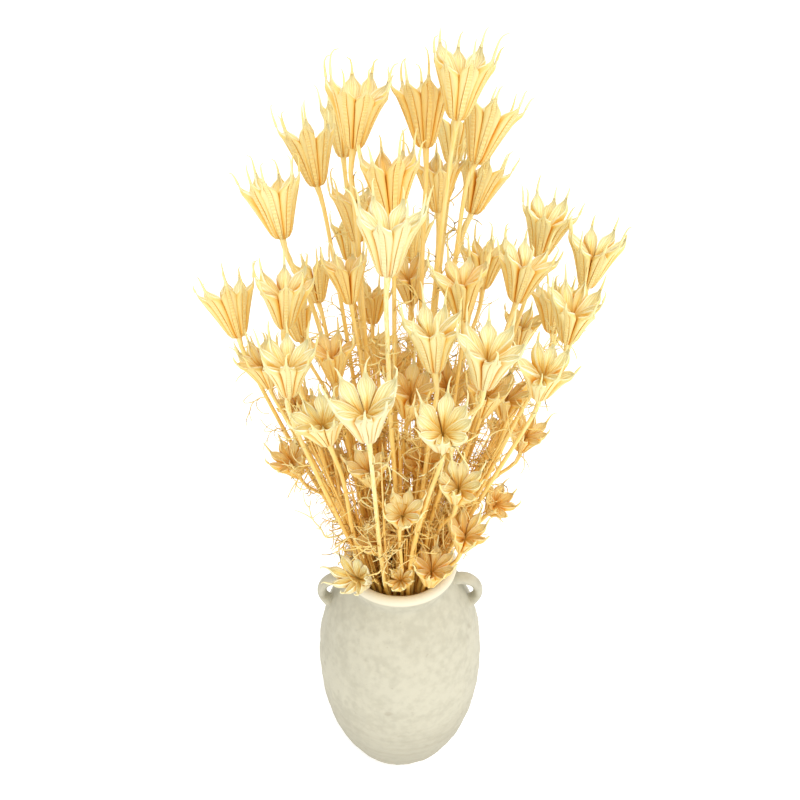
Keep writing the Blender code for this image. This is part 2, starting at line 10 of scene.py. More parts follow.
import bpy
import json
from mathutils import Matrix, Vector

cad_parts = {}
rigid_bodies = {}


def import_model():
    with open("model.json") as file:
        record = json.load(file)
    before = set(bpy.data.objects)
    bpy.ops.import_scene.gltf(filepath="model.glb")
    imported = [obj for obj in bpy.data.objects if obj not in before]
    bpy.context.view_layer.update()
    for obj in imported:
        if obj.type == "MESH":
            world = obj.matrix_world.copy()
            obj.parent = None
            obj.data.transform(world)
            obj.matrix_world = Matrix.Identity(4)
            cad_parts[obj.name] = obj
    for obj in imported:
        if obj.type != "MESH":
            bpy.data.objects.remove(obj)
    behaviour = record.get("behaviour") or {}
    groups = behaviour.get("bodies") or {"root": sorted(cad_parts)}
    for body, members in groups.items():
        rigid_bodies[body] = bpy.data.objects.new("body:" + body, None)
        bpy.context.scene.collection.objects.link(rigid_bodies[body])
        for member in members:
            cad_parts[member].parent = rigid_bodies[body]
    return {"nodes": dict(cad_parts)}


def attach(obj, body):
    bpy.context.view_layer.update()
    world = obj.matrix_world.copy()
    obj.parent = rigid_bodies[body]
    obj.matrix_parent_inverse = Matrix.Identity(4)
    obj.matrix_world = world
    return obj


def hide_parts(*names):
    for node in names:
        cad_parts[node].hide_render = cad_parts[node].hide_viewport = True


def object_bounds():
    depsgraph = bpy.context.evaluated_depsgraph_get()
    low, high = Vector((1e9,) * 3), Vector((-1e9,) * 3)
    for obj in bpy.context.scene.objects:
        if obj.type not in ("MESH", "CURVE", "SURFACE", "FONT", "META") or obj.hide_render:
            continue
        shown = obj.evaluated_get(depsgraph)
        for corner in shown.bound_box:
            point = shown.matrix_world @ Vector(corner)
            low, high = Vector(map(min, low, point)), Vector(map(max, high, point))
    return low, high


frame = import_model()
cad_low, cad_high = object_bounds()
print("plain pieces:", len(frame["nodes"]), "from", tuple(cad_low), "to", tuple(cad_high))

# %% Tools of the lesson
import json
from math import cos, pi, radians, sin, tau
from types import SimpleNamespace

import bmesh
import bpy
import numpy as np
from mathutils import Matrix, Quaternion, Vector

MM = 0.001
scene = bpy.context.scene
workshop = bpy.data.collections.new("workshop")
scene.collection.children.link(workshop)


def placed(name, data, shelf=scene.collection):
    """A new object in the scene, or on a shelf of the workshop."""
    thing = bpy.data.objects.new(name, data)
    shelf.objects.link(thing)
    return thing


print("helpers are kept in the collection", workshop.name)

# %% [markdown]
# ## The camera
#
# The picture was taken from in front of the vase and well above it. The size of the
# mouth's ellipse and the outline of the vase give the camera's height, distance and
# tilt. A lens of 35 mm on the usual 36 mm sensor then frames the whole bunch.

# %% Place the camera
CAMERA_PLACE = (0, -0.4875, 0.717)
CAMERA_TILT = radians(90 - 33)
CAMERA_LENS = 35.1
CAMERA_NEAR = 0.01

camera = placed("camera", bpy.data.cameras.new("camera"))
camera.location = CAMERA_PLACE
camera.rotation_euler = (CAMERA_TILT, 0, 0)
camera.data.lens = CAMERA_LENS
camera.data.clip_start = CAMERA_NEAR
scene.camera = camera
print("camera at", CAMERA_PLACE)

# %% [markdown]
# ## Light and floor
#
# A high-key studio picture has a white surround and one very broad light, here a sun
# that is softened over a wide angle, from above on the right in front. A sun lights
# the whole floor alike, so the floor stays white to the horizon. The floor also glows a
# little, as a light table does, which fills the vase's shaded underside. There are no
# hard shadows, and the golden depth of the bunch comes from light that bounces from
# stalk to stalk, and from gold shade painted into the straw's colour.

# %% Build the studio
WHITE = (1, 1, 1, 1)
WORLD_LIGHT = 0.72
SUN_LIGHT = 1.95
SUN_SPREAD = radians(70)
SUN_PLACE = Vector((0.45, -0.9, 1.35))
FLOOR_WIDTH = 40
FLOOR_COLOUR = (0.95, 0.95, 0.945, 1)
FLOOR_ROUGHNESS = 0.9
FLOOR_GLOSS = 0.1
FLOOR_GLOW = 0.34


def make_world():
    world = bpy.data.worlds.new("white surround")
    world.use_nodes = True
    background = world.node_tree.nodes["Background"]
    background.inputs["Color"].default_value = WHITE
    background.inputs["Strength"].default_value = WORLD_LIGHT
    scene.world = world


def add_sun():
    lamp = bpy.data.lights.new("soft sun", "SUN")
    lamp.energy = SUN_LIGHT
    lamp.angle = SUN_SPREAD
    sun = placed("soft sun", lamp)
    sun.location = SUN_PLACE
    sun.rotation_euler = (-SUN_PLACE).to_track_quat("-Z", "Y").to_euler()


def new_material(name, roughness, gloss):
    """A material with its node tree and its shader."""
    material = bpy.data.materials.new(name)
    material.use_nodes = True
    shader = material.node_tree.nodes["Principled BSDF"]
    shader.inputs["Roughness"].default_value = roughness
    shader.inputs["Specular IOR Level"].default_value = gloss
    return material, material.node_tree, shader


def make_floor():
    mesh = bpy.data.meshes.new("floor")
    edit = bmesh.new()
    bmesh.ops.create_grid(edit, x_segments=1, y_segments=1, size=FLOOR_WIDTH / 2)
    edit.to_mesh(mesh)
    edit.free()
    paint, _, shader = new_material("white floor", FLOOR_ROUGHNESS, FLOOR_GLOSS)
    shader.inputs["Base Color"].default_value = FLOOR_COLOUR
    shader.inputs["Emission Color"].default_value = WHITE
    shader.inputs["Emission Strength"].default_value = FLOOR_GLOW
    mesh.materials.append(paint)
    floor = placed("floor", mesh)


make_world()
add_sun()
make_floor()
scene.view_settings.view_transform = "Standard"
print("world:", WORLD_LIGHT, "sun:", SUN_LIGHT)

# %% [markdown]
# ## Where every stalk stands
#
# A bunch looks natural when its stems really fit beside each other: they stand on the
# vase's floor, squeeze through the neck and fan out above it. The list gives each
# pod's place, lean, nod and size, and which pods sit on a side branch. Then every stem
# and pod gives way to its neighbours, a little in each round, until nothing runs
# through anything else. This is the same rule, with the same numbers, that made the
# plain stalks, so both sets of stalks share their paths.

# %% The vase's sizes and the bunch's
HEIGHT = 238.5 * MM
BELLY_RADIUS = 75 * MM
BELLY_LEVEL = 118 * MM
FOOT_RADIUS = 38 * MM
NECK_RADIUS = 44 * MM
NECK_LEVEL = 220 * MM
LIP_RADIUS = 49 * MM
LIP_ROLL = 4.5 * MM
WALL = 6 * MM
FLOOR = 8 * MM
FOOT_HOLD = (0.59, 0.18)
BELLY_HOLD = (0.48, 0.49)
NECK_HOLD = (0.64, 0.25)

STEM_RADIUS = 1.75 * MM
FOOT_GAP = 0.3 * MM
VASE_LEVELS = 4
LEVEL_STEP = 60 * MM
SLICE_STEP = 8 * MM
BUNCH_SPREAD = 125 * MM
NECK_SPREAD = 33 * MM
NECK_CROWDING = 0.8
FOOT_SHARE = 0.85
CROOK = 18 * MM
STEM_SPACING = 5.6 * MM
CROSSING_DRIFT = 0.4 * MM
MOUTH_CLEARANCE = 3.2 * MM
RIM_SLOPE = 1.2
FORK_DROP = 75 * MM
NECK_HOLD_SHARE = 0.4
POD_HOLD_SHARE = 0.3
PATH_POINTS = 60
CROOK_ROOM = 0.3 * LEVEL_STEP
POD_BALLS = ((10.5 * MM, 12 * MM), (26.5 * MM, 19.2 * MM))
AWN_SPACING = 1.2 * MM

SETTLE_ROUNDS = 150
STEM_GIVE = 0.6
POD_GIVE = 0.35
POD_STEM_GIVE = 0.12
STEM_SMOOTHING = 0.12
FIRST_PULL = 0.05
POD_PULL = 0.2
TINY = 1e-9
SEED = 12
print("the vase is", HEIGHT, "m tall and", 2 * BELLY_RADIUS, "m wide")

# %% Each pod's place
# Across to the right, towards the front and up in millimetres, lean to the right and
# nod to the front in degrees, and size
PODS = (
    (33, 20, 607, 7, 12, 1.08), (-28, 10, 588, 8, 12, 1.06), (16, -10, 583, -2, -2, 1.08),
    (49, -20, 570, 20, -4, 1.04), (-40, -70, 560, -4, -4, 0.94), (38, -80, 552, 6, -10, 0.92),
    (-55, -30, 552, -13, 0, 1.06), (-5, 30, 549, -4, 4, 1.08), (-7, 75, 534, 4, 14, 1.06),
    (33, -25, 534, -2, 6, 0.94), (-77, 0, 527, -11, 2, 1.08), (51, -50, 526, 20, -8, 0.98),
    (-43, -30, 514, -4, 4, 0.96), (99, -20, 505, 6, 14, 1.02), (124, 0, 493, 6, 14, 1.0),
    (77, 20, 491, 10, 12, 0.98), (-32, 20, 490, -7, -2, 0.84), (41, 30, 484, -4, 10, 0.98),
    (-76, 30, 477, 6, 14, 1.02), (-40, -92, 472, 0, -14, 0.84), (62, -50, 468, 4, 4, 0.9),
    (111, 32, 467, 2, 14, 1.02), (18, -35, 462, -6, 14, 0.9), (26, 62, 461, -7, 8, 1.04),
    (48, 74, 459, 4, 16, 1.02), (-63, -60, 451, -13, -10, 0.9), (-116, -8, 449, -14, -6, 1.04),
    (-71, 62, 444, 4, 12, 0.98), (-19, 105, 440, -2, 20, 1.04), (114, -32, 440, 2, 0, 0.92),
    (92, 52, 436, 2, 20, 0.96), (-39, 20, 431, -2, 10, 0.86), (-22, -72, 427, 0, 0, 0.8),
    (27, 88, 421, -2, 28, 0.98), (-49, 64, 408, -10, 20, 0.94), (95, -62, 409, 4, 4, 0.84),
    (-3, 42, 407, 5, 14, 0.98), (-5, -22, 398, 1, 2, 0.8), (-104, -40, 388, -16, 2, 0.86),
    (90, -8, 385, -2, 12, 0.88), (-81, -20, 364, -6, 14, 0.82), (37, 52, 350, 4, 18, 0.84),
    (20, 12, 342, 9, 20, 0.8), (97, -20, 339, 10, 14, 0.8), (-76, 8, 336, -16, 18, 0.8),
    (-36, 0, 322, -2, 6, 0.76), (84, -60, 315, 10, 8, 0.72), (-67, -48, 304, -12, 14, 0.76),
    (73, 0, 290, 18, 24, 0.76), (44, 32, 286, 10, 14, 0.86), (-15, 22, 273, -10, 20, 0.8),
    (7, -10, 268, 3, 14, 0.74), (18, 24, 247, 6, 12, 0.9), (-26, 34, 246, -30, 34, 0.84),
    (1, 35, 243, -6, 34, 0.7), (10, -112, 462, 2, -24, 0.98), (62, -100, 442, 12, -20, 0.94),
    (-82, -84, 404, -18, -18, 0.94), (-20, -104, 366, -6, -30, 0.88), (50, -84, 344, 12, -26, 0.84),
    (-58, 20, 392, -8, 10, 0.8), (30, 8, 398, 8, 12, 0.82), (58, 22, 405, 10, 12, 0.86),
    (-22, 40, 352, -10, 18, 0.8), (62, -30, 368, 8, 6, 0.78), (-52, -30, 340, -12, 8, 0.78),
    (8, 56, 330, 4, 20, 0.78), (-92, 22, 426, -10, 16, 0.84),
)
# Which pods of the list grow on a side branch
SIDE_BRANCHES = (16, 22, 32, 37, 42, 44, 45, 46, 60, 61, 62, 63, 64, 65, 67)
print("pods:", len(PODS), "on side branches:", len(SIDE_BRANCHES))

# %% The vase's side as two smooth curves


def bezier(start, leave, arrive, end, count):
    """Points of a cubic curve, the first one left out."""
    t = np.linspace(0, 1, count + 1)[1:, None]
    a, b, c, d = (np.array(p, float) for p in (start, leave, arrive, end))
    return (1 - t) ** 3 * a + 3 * (1 - t) ** 2 * t * b + 3 * (1 - t) * t ** 2 * c + t ** 3 * d


def vase_side(inset, bottom, steps):
    """Radius and height up the vase's side, drawn in by the wall for the inside."""
    foot = np.array((FOOT_RADIUS - inset, bottom))
    belly = np.array((BELLY_RADIUS - inset, BELLY_LEVEL))
    neck = np.array((NECK_RADIUS - inset, NECK_LEVEL))
    widening = belly[0] - foot[0]
    closing = belly[0] - neck[0]
    rise = neck[1] - belly[1]
    low = bezier(foot, foot + (FOOT_HOLD[0] * widening, FOOT_HOLD[1] * BELLY_LEVEL),
                 belly - (0, BELLY_HOLD[0] * (belly[1] - bottom)), belly, steps)
    high = bezier(belly, belly + (0, BELLY_HOLD[1] * rise),
                  neck + (NECK_HOLD[0] * closing, -NECK_HOLD[1] * rise), neck, steps)
    return np.vstack((foot, low, high))


def kept_inside(flat, height):
    """Places drawn in to the room inside the vase, or inside a cone above its mouth."""
    inside = vase_side(WALL, FLOOR, 12)
    room = np.interp(height, inside[:, 1], inside[:, 0]) - MOUTH_CLEARANCE
    room = room + RIM_SLOPE * np.clip(height - HEIGHT, 0, None)
    far = np.hypot(flat[..., 0], flat[..., 1]) + TINY
    return flat * np.minimum(1, room / far)[..., None]


print("points up the vase's side:", len(vase_side(0, 0, 12)))

# %% A stem's first path, before it gives way


def knot_heights(bunch):
    """Heights of a stem's knots: its levels, its crook, then its pod's foot."""
    top = len(bunch.levels) + 1
    height = np.repeat(bunch.base[:, 2:], top + 1, axis=1)
    for i, count in enumerate(bunch.knots):
        height[i, :count] = bunch.levels[:count]
        height[i, count] = bunch.crook_height[i]
    return height


def first_path(bunch, i):
    base, axis = bunch.base[i], bunch.axis[i]
    spread = np.hypot(*base[:2])
    reach = NECK_SPREAD * min(1, spread / BUNCH_SPREAD) ** NECK_CROWDING
    neck = np.append(base[:2] / spread * reach, NECK_LEVEL)
    foot = np.append(neck[:2] * FOOT_SHARE, bunch.floor)
    reach = np.linalg.norm(base - neck)
    along = (neck - foot) / np.linalg.norm(neck - foot)
    curve = bezier(neck, neck + along * reach * NECK_HOLD_SHARE,
                   base - axis * reach * POD_HOLD_SHARE, base, PATH_POINTS)
    curve = np.vstack((foot, neck, curve))
    columns = [np.interp(bunch.height[i], curve[:, 2], curve[:, c]) for c in (0, 1)]
    return np.column_stack(columns)


def choose_parents(bunch):
    """Each side branch leaves the stem that passes nearest below its pod."""
    parent = np.arange(bunch.count)
    fork = np.zeros(bunch.count, int)
    for i in range(bunch.count):
        if not bunch.side_branch[i]:
            continue
        fork[i] = np.searchsorted(bunch.levels, bunch.base[i, 2] - FORK_DROP) - 1
        near = []
        for j in range(bunch.count):
            if bunch.side_branch[j] or bunch.knots[j] < fork[i] + 2:
                continue
            gap = np.hypot(*(bunch.place[i, fork[i]] - bunch.place[j, fork[i]]))
            near.append((gap, j))
        parent[i] = min(near)[1]
    return parent, fork


def planned_bunch():
    bunch = SimpleNamespace()
    table = np.array(PODS, float)
    lean, nod = np.radians(table[:, 3]), np.radians(table[:, 4])
    bunch.count = len(PODS)
    bunch.size = table[:, 5]
    bunch.base = table[:, :3] * MM * (1, -1, 1)
    bunch.axis = np.column_stack((np.sin(lean), -np.sin(nod) * np.cos(lean),
                                  np.cos(nod) * np.cos(lean)))
    bunch.floor = FLOOR + FOOT_GAP
    inside = np.linspace(bunch.floor, NECK_LEVEL, VASE_LEVELS)
    outside = np.arange(HEIGHT, bunch.base[:, 2].max(), LEVEL_STEP)
    bunch.levels = np.concatenate((inside, outside))
    bunch.crook_height = bunch.base[:, 2] - CROOK * bunch.axis[:, 2]
    below = bunch.levels[None] < bunch.crook_height[:, None] - CROOK_ROOM
    bunch.knots = below.sum(axis=1)
    bunch.height = knot_heights(bunch)
    bunch.side_branch = [i in SIDE_BRANCHES for i in range(bunch.count)]
    bunch.place = np.array([first_path(bunch, i) for i in range(bunch.count)])
    bunch.parent, bunch.fork = choose_parents(bunch)
    bunch.wish = bunch.place.copy()
    return bunch


bunch = planned_bunch()
print("levels of the stems:", len(bunch.levels))

# %% How stems part in thin slices


def slice_weights(bunch):
    """How much each knot counts in a stem's place at each thin slice."""
    slices = np.arange(bunch.floor, bunch.base[:, 2].max(), SLICE_STEP)
    weights = np.zeros((bunch.count, len(slices), bunch.height.shape[1]))
    for i in range(bunch.count):
        last = bunch.knots[i] + 2
        for k in range(last):
            tip = np.zeros(last)
            tip[k] = 1
            weights[i, :, k] = np.interp(slices, bunch.height[i, :last], tip, right=0)
        weights[i, slices > bunch.base[i, 2]] = 0
    return slices, weights


def shared_push(weights, push):
    """The push on each knot from the slices near it."""
    pressed = (np.abs(push).sum(axis=2) > 0).astype(float)
    shares = np.einsum("isk,is->ik", weights, pressed)
    return np.einsum("isk,isc->ikc", weights, push) / np.maximum(shares, 1)[..., None]


def push_stems(bunch, slices, weights, alive, apart):
    """Moves that part stems which run too close in a slice."""
    at = np.einsum("isk,ikc->isc", weights, bunch.place)
    gap = at[:, None] - at[None]
    far = np.hypot(gap[..., 0], gap[..., 1]) + TINY
    both = alive[:, None] & alive[None] & apart[..., None]
    first, second, level = np.nonzero(both & (far < STEM_SPACING))
    gaps, far = gap[first, second, level], far[first, second, level]
    upper = np.minimum(level + 1, len(slices) - 1)
    drift = gap[first, second, upper] - gap[first, second, np.maximum(level - 1, 0)]
    speed = (drift ** 2).sum(axis=1) + CROSSING_DRIFT ** 2
    along = (gaps * drift).sum(axis=1) / speed
    way = gaps - drift * along[:, None] + 1e-6
    way /= np.linalg.norm(way, axis=1)[:, None]
    push = np.zeros_like(at)
    np.add.at(push, (first, level), way * (STEM_SPACING - far)[:, None])
    return shared_push(weights, push) * STEM_GIVE


slices, weights = slice_weights(bunch)
print("thin slices:", len(slices))

# %% How pods part from pods and from passing stems


def pod_balls(bunch):
    """Two balls that each pod's lower and upper half lie in."""
    shift = np.array([ball[0] for ball in POD_BALLS])
    radius = np.array([ball[1] for ball in POD_BALLS])
    foot = bunch.base[:, None]
    middle = foot + bunch.axis[:, None] * shift[None, :, None] * bunch.size[:, None, None]
    return middle, radius[None] * bunch.size[:, None]


def push_pods(bunch, slices, weights, alive):
    middle, radius = pod_balls(bunch)
    own = middle.reshape(-1, 3)
    reach = radius.reshape(-1)
    owner = np.repeat(np.arange(bunch.count), len(POD_BALLS))
    gap = own[:, None] - own[None]
    far = np.linalg.norm(gap, axis=2) + TINY
    need = reach[:, None] + reach[None] + AWN_SPACING
    short = np.where(owner[:, None] != owner[None], np.clip(need - far, 0, None), 0)
    move = (gap[..., :2] / far[..., None] * short[..., None]).sum(axis=1) * POD_GIVE
    pods = np.zeros((bunch.count, 2))
    np.add.at(pods, owner, move)

    at = np.einsum("isk,ikc->isc", weights, bunch.place)
    flat = at[None] - own[:, None, None, :2]
    drop = slices[None] - own[:, 2:]
    far = np.sqrt((flat ** 2).sum(axis=3) + drop[:, None] ** 2) + TINY
    need = reach + STEM_RADIUS + AWN_SPACING
    other = (owner[:, None] != np.arange(bunch.count)[None])[..., None] & alive[None]
    short = np.where(other, np.clip(need[:, None, None] - far, 0, None), 0)
    side = np.hypot(flat[..., 0], flat[..., 1]) + TINY
    push = flat / side[..., None] * short[..., None]
    stems = shared_push(weights, push.sum(axis=0)) * STEM_GIVE
    np.add.at(pods, owner, -push.sum(axis=(1, 2)) * POD_STEM_GIVE)
    return stems, pods


print("balls round the pods:", len(POD_BALLS) * bunch.count)

# %% Settle the bunch


def hold(bunch, start, pull):
    """Keep pods near their places, crooks under them and stems in the vase."""
    for i in range(bunch.count):
        n = bunch.knots[i]
        shift = bunch.base[i, :2] - start[i, :2]
        bunch.place[i, n + 1:] = bunch.base[i, :2]
        bunch.place[i, n] = bunch.base[i, :2] - CROOK * bunch.axis[i, :2]
        rise = bunch.height[i, :n, None] / bunch.base[i, 2]
        goal = bunch.wish[i, :n] + shift * rise ** 3
        bunch.place[i, :n] += pull * (goal - bunch.place[i, :n])
        middle = 0.5 * (bunch.place[i, :n - 1] + bunch.place[i, 2:n + 1])
        bunch.place[i, 1:n] += STEM_SMOOTHING * (middle - bunch.place[i, 1:n])
    bunch.place = kept_inside(bunch.place, bunch.height)
    bunch.base[:, :2] = kept_inside(bunch.base[:, :2], bunch.base[:, 2])
    for i in range(bunch.count):
        if bunch.parent[i] != i:
            own = bunch.parent[i]
            bunch.place[i, :bunch.fork[i] + 1] = bunch.place[own, :bunch.fork[i] + 1]


def settle(bunch, slices, weights):
    """Rounds in which stems and pods part, drawn back to their places ever less."""
    alive = slices[None] <= bunch.base[:, 2:]
    apart = bunch.parent[:, None] != bunch.parent[None]
    start = bunch.base.copy()
    for pull in np.linspace(FIRST_PULL, 0, SETTLE_ROUNDS):
        hold(bunch, start, pull)
        stems = push_stems(bunch, slices, weights, alive, apart)
        passing, pods = push_pods(bunch, slices, weights, alive)
        bunch.place += stems + passing
        back = POD_PULL * pull * (start[:, :2] - bunch.base[:, :2])
        bunch.base[:, :2] += pods + back
    hold(bunch, start, 0)


settle(bunch, slices, weights)

# %% [markdown]
# ## Small helpers for node trees
#
# Materials and geometry trees are both graphs. A few helpers keep the rest of the
# lesson readable: one adds a node with its settings, one joins two sockets, one joins a
# row of nodes, and one starts a geometry tree with named inputs.

# %% Node helpers


def feed(tree, place, value):
    """Gives an input a plain value, or joins a socket to it."""
    if hasattr(value, "is_output"):
        join(tree, value, place)
    else:
        place.default_value = value


def add_node(tree, kind, inputs=(), **settings):
    """A node with its settings, and a value or a socket for each named input."""
    node = tree.nodes.new(kind)
    for name, value in settings.items():
        setattr(node, name, value)
    for name, value in dict(inputs).items():
        feed(tree, node.inputs[name], value)
    return node


def join(tree, source, target):
    tree.links.new(source, target)


def chain(tree, source, *nodes):
    """Joins nodes in a row by their first sockets, and gives the last one's output."""
    for node in nodes:
        join(tree, source, node.inputs[0])
        source = node.outputs[0]
    return source


def start_tree(name, sockets):
    """A geometry tree, the outputs of its group input, and its group output."""
    tree = bpy.data.node_groups.new(name, "GeometryNodeTree")
    for label, kind in (("Geometry", "Geometry"), *sockets):
        tree.interface.new_socket(label, in_out="INPUT", socket_type="NodeSocket" + kind)
    tree.interface.new_socket("Geometry", in_out="OUTPUT", socket_type="NodeSocketGeometry")
    return tree, tree.nodes.new("NodeGroupInput").outputs, tree.nodes.new("NodeGroupOutput")


def socket_ids(tree):
    """The identifier of each input of a tree, by its name."""
    return {item.name: item.identifier for item in tree.interface.items_tree
            if item.item_type == "SOCKET" and item.in_out == "INPUT"}


def named(tree, label, kind):
    """The value of an attribute that the mesh carries."""
    node = add_node(tree, "GeometryNodeInputNamedAttribute", {"Name": label}, data_type=kind)
    return node.outputs["Attribute"]


print("helpers for trees:", add_node.__name__, join.__name__, chain.__name__)

# %% [markdown]
# ## Straw, papery and ribbed
#
# Bleached pods aren't one colour. The outside is honey gold with fine ribs and a beaded
# keel, the lips are nearly white with a painted highlight along their rims, the inside is
# cream with thin slanting veins, and the creases between the follicles are amber, partly
# their own colour and partly painted shade. The follicle's own UV map says where a point
# lies: across runs from the keel over the lip into the trough, and along runs from the
# foot to the tip. So every colour band follows the form at any angle, which no picture
# on a box map would do. A number on each point, the tone, makes a whole pod or stem
# more amber in the heart of the bunch, which is painted shade, and more ashen in front,
# which is partly painted light.

# %% Helpers for colours in a material


def ramp(tree, source, stops, smooth=True):
    """A ramp: each stop is a place from 0 to 1, and a colour or a plain share."""
    node = tree.nodes.new("ShaderNodeValToRGB")
    band = node.color_ramp
    band.interpolation = "EASE" if smooth else "LINEAR"
    while len(band.elements) < len(stops):
        band.elements.new(0.5)
    for element, (place, value) in zip(band.elements, stops):
        element.position = place
        element.color = (*value, 1) if isinstance(value, tuple) else (value, value, value, 1)
    join(tree, source, node.inputs["Fac"])
    return node.outputs["Color"]


def mixed(tree, share, first, second, way="MIX"):
    """Two colours mixed by a share, each a socket or a plain colour."""
    node = add_node(tree, "ShaderNodeMix", data_type="RGBA", blend_type=way)
    for value, place in ((share, 0), (first, 6), (second, 7)):
        feed(tree, node.inputs[place], (*value, 1) if isinstance(value, tuple) else value)
    return node.outputs[2]


def calc(tree, operation, *values, clamp=False):
    """One step of arithmetic on sockets or plain numbers."""
    node = add_node(tree, "ShaderNodeMath", operation=operation, use_clamp=clamp)
    for place, value in zip(node.inputs, values):
        feed(tree, place, value)
    return node.outputs["Value"]


def times(tree, first, *others):
    for other in others:
        first = calc(tree, "MULTIPLY", first, other)
    return first


def tinted(tree, colour, other, *shares):
    """A colour turned towards another one by the product of some shares."""
    return mixed(tree, times(tree, *shares), colour, other)


def parts_of(tree, vector):
    """The three parts of a place, as outputs named X, Y and Z."""
    return add_node(tree, "ShaderNodeSeparateXYZ", {"Vector": vector}).outputs


def fine_noise(tree, scale, detail, stretch=(1, 1, 1)):
    """Noise in the object's own coordinates, drawn out along an axis if asked."""
    place = add_node(tree, "ShaderNodeTexCoord").outputs["Object"]
    mapping = add_node(tree, "ShaderNodeMapping", {"Vector": place, "Scale": stretch})
    return add_node(tree, "ShaderNodeTexNoise", {
        "Vector": mapping.outputs["Vector"], "Scale": scale, "Detail": detail}).outputs["Fac"]


def raised(tree, shader, height, strength, distance):
    bump = add_node(tree, "ShaderNodeBump", {
        "Strength": strength, "Distance": distance, "Height": height})
    join(tree, bump.outputs["Normal"], shader.inputs["Normal"])


print("helpers for colours:", ramp.__name__, mixed.__name__, times.__name__, tinted.__name__)

# %% [markdown]
# ## Gold where little light comes in
#
# Where straw lies close to straw, light bounces between them and turns gold before it
# comes out. A render with few bounces only gets dark there. A node that measures how
# open a point is finds the folds and the crowded places, in any view, and the colour
# turns to a deeper gold in them: this is painted shade in the base colour.

# %% Painted gold shade in the folds
FOLD_SHADE_REACH = 9 * MM
FOLD_SHADE_TINT = (1.0, 0.73, 0.2)


def painted_fold_shade(tree, colour):
    """Painted shade: a straw colour that turns to deeper gold in folds and between crowded stalks,
    where little light comes in.
    """
    shelter = add_node(tree, "ShaderNodeAmbientOcclusion", {"Distance": FOLD_SHADE_REACH}, samples=4)
    share = ramp(tree, shelter.outputs["AO"], ((0.08, 1), (0.62, 0)), smooth=False)
    return mixed(tree, share, colour, mixed(tree, 1.0, colour, FOLD_SHADE_TINT, "MULTIPLY"))


print("gold reaches into folds of", FOLD_SHADE_REACH, "m")

# %% The pods' material
HONEY = (0.92, 0.74, 0.28)
PALE_HONEY = (0.94, 0.84, 0.4)
CREAM = (0.95, 0.89, 0.5)
LIP_CREAM_AND_HIGHLIGHT = (0.98, 0.97, 0.75)
ASHEN = (0.87, 0.8, 0.55)
INNER_CREAM = (0.98, 0.95, 0.6)
AMBER = (0.92, 0.52, 0.06)
DEEP_AMBER = (0.82, 0.32, 0.01)
RIB_LINE = (0.86, 0.62, 0.2)
INNER_VEINS = 8
INNER_SLANT = 3
OUTER_VEINS = 24
BEADS = 24
KEEL_TO = 0.055
OUTSIDE_TO = 0.46
INSIDE_FROM = 0.56
GLOSS = 0.3


def tone_share(tree, way):
    """How far the tone goes one way: 1 towards amber, -1 towards ash."""
    tone = add_node(tree, "ShaderNodeAttribute", attribute_name="tone").outputs["Fac"]
    return calc(tree, "MAXIMUM", times(tree, tone, way), 0.0, clamp=True)


def stripes(tree, value, sharpness):
    """A row of thin lines, one for each whole step of the value."""
    wave = calc(tree, "ABSOLUTE", calc(tree, "SINE", times(tree, value, pi)))
    return calc(tree, "POWER", wave, sharpness)


def pod_bands(tree, across):
    """The colours from the keel over the panel, crease and rim into the trough; the near-white band
    on the rim is partly the lip's paler paper and partly a painted highlight.
    """
    return ramp(tree, across, (
        (0.0, PALE_HONEY), (0.05, CREAM), (0.07, RIB_LINE), (0.085, RIB_LINE), (0.12, CREAM),
        (0.27, PALE_HONEY), (0.35, HONEY), (0.44, HONEY), (0.465, LIP_CREAM_AND_HIGHLIGHT),
        (0.545, LIP_CREAM_AND_HIGHLIGHT), (0.575, HONEY), (0.64, INNER_CREAM), (0.92, INNER_CREAM),
        (1.0, PALE_HONEY)))


def pod_amber_and_shade(tree, across, along, colour):
    """Amber low in the creases, between the lobes and in the troughs near the middle, and deep
    amber at the foot: partly the straw's own colour and partly painted shade.
    """
    crease = ramp(tree, across, ((0.17, 0), (0.33, 1), (0.4, 1), (0.455, 0)))
    low = ramp(tree, along, ((0.12, 1), (0.6, 0)))
    colour = tinted(tree, colour, AMBER, low, crease)
    slit = ramp(tree, across, ((0.34, 0), (0.37, 1), (0.43, 1), (0.46, 0)))
    middle = ramp(tree, along, ((0.45, 1), (0.75, 0)))
    colour = tinted(tree, colour, AMBER, slit, middle)
    trough = ramp(tree, across, ((0.57, 0), (0.78, 0.15), (1.0, 0.8)))
    inner = ramp(tree, along, ((0.38, 1), (0.62, 0)))
    colour = tinted(tree, colour, AMBER, trough, inner)
    foot = ramp(tree, along, ((0.03, 1), (0.25, 0)))
    return tinted(tree, colour, DEEP_AMBER, foot, crease)


def pod_lines(tree, across, along, inside, outside):
    """Slanting veins inside with faint ribs outside, and the beads along the keel."""
    slant = calc(tree, "ADD", times(tree, across, INNER_VEINS), times(tree, along, INNER_SLANT))
    veins = times(tree, stripes(tree, slant, 5), inside)
    ribs = times(tree, stripes(tree, times(tree, across, OUTER_VEINS), 4), outside, 0.3)
    keel = calc(tree, "LESS_THAN", across, KEEL_TO)
    beads = times(tree, stripes(tree, times(tree, along, BEADS), 1.5), keel)
    return calc(tree, "ADD", veins, ribs), beads


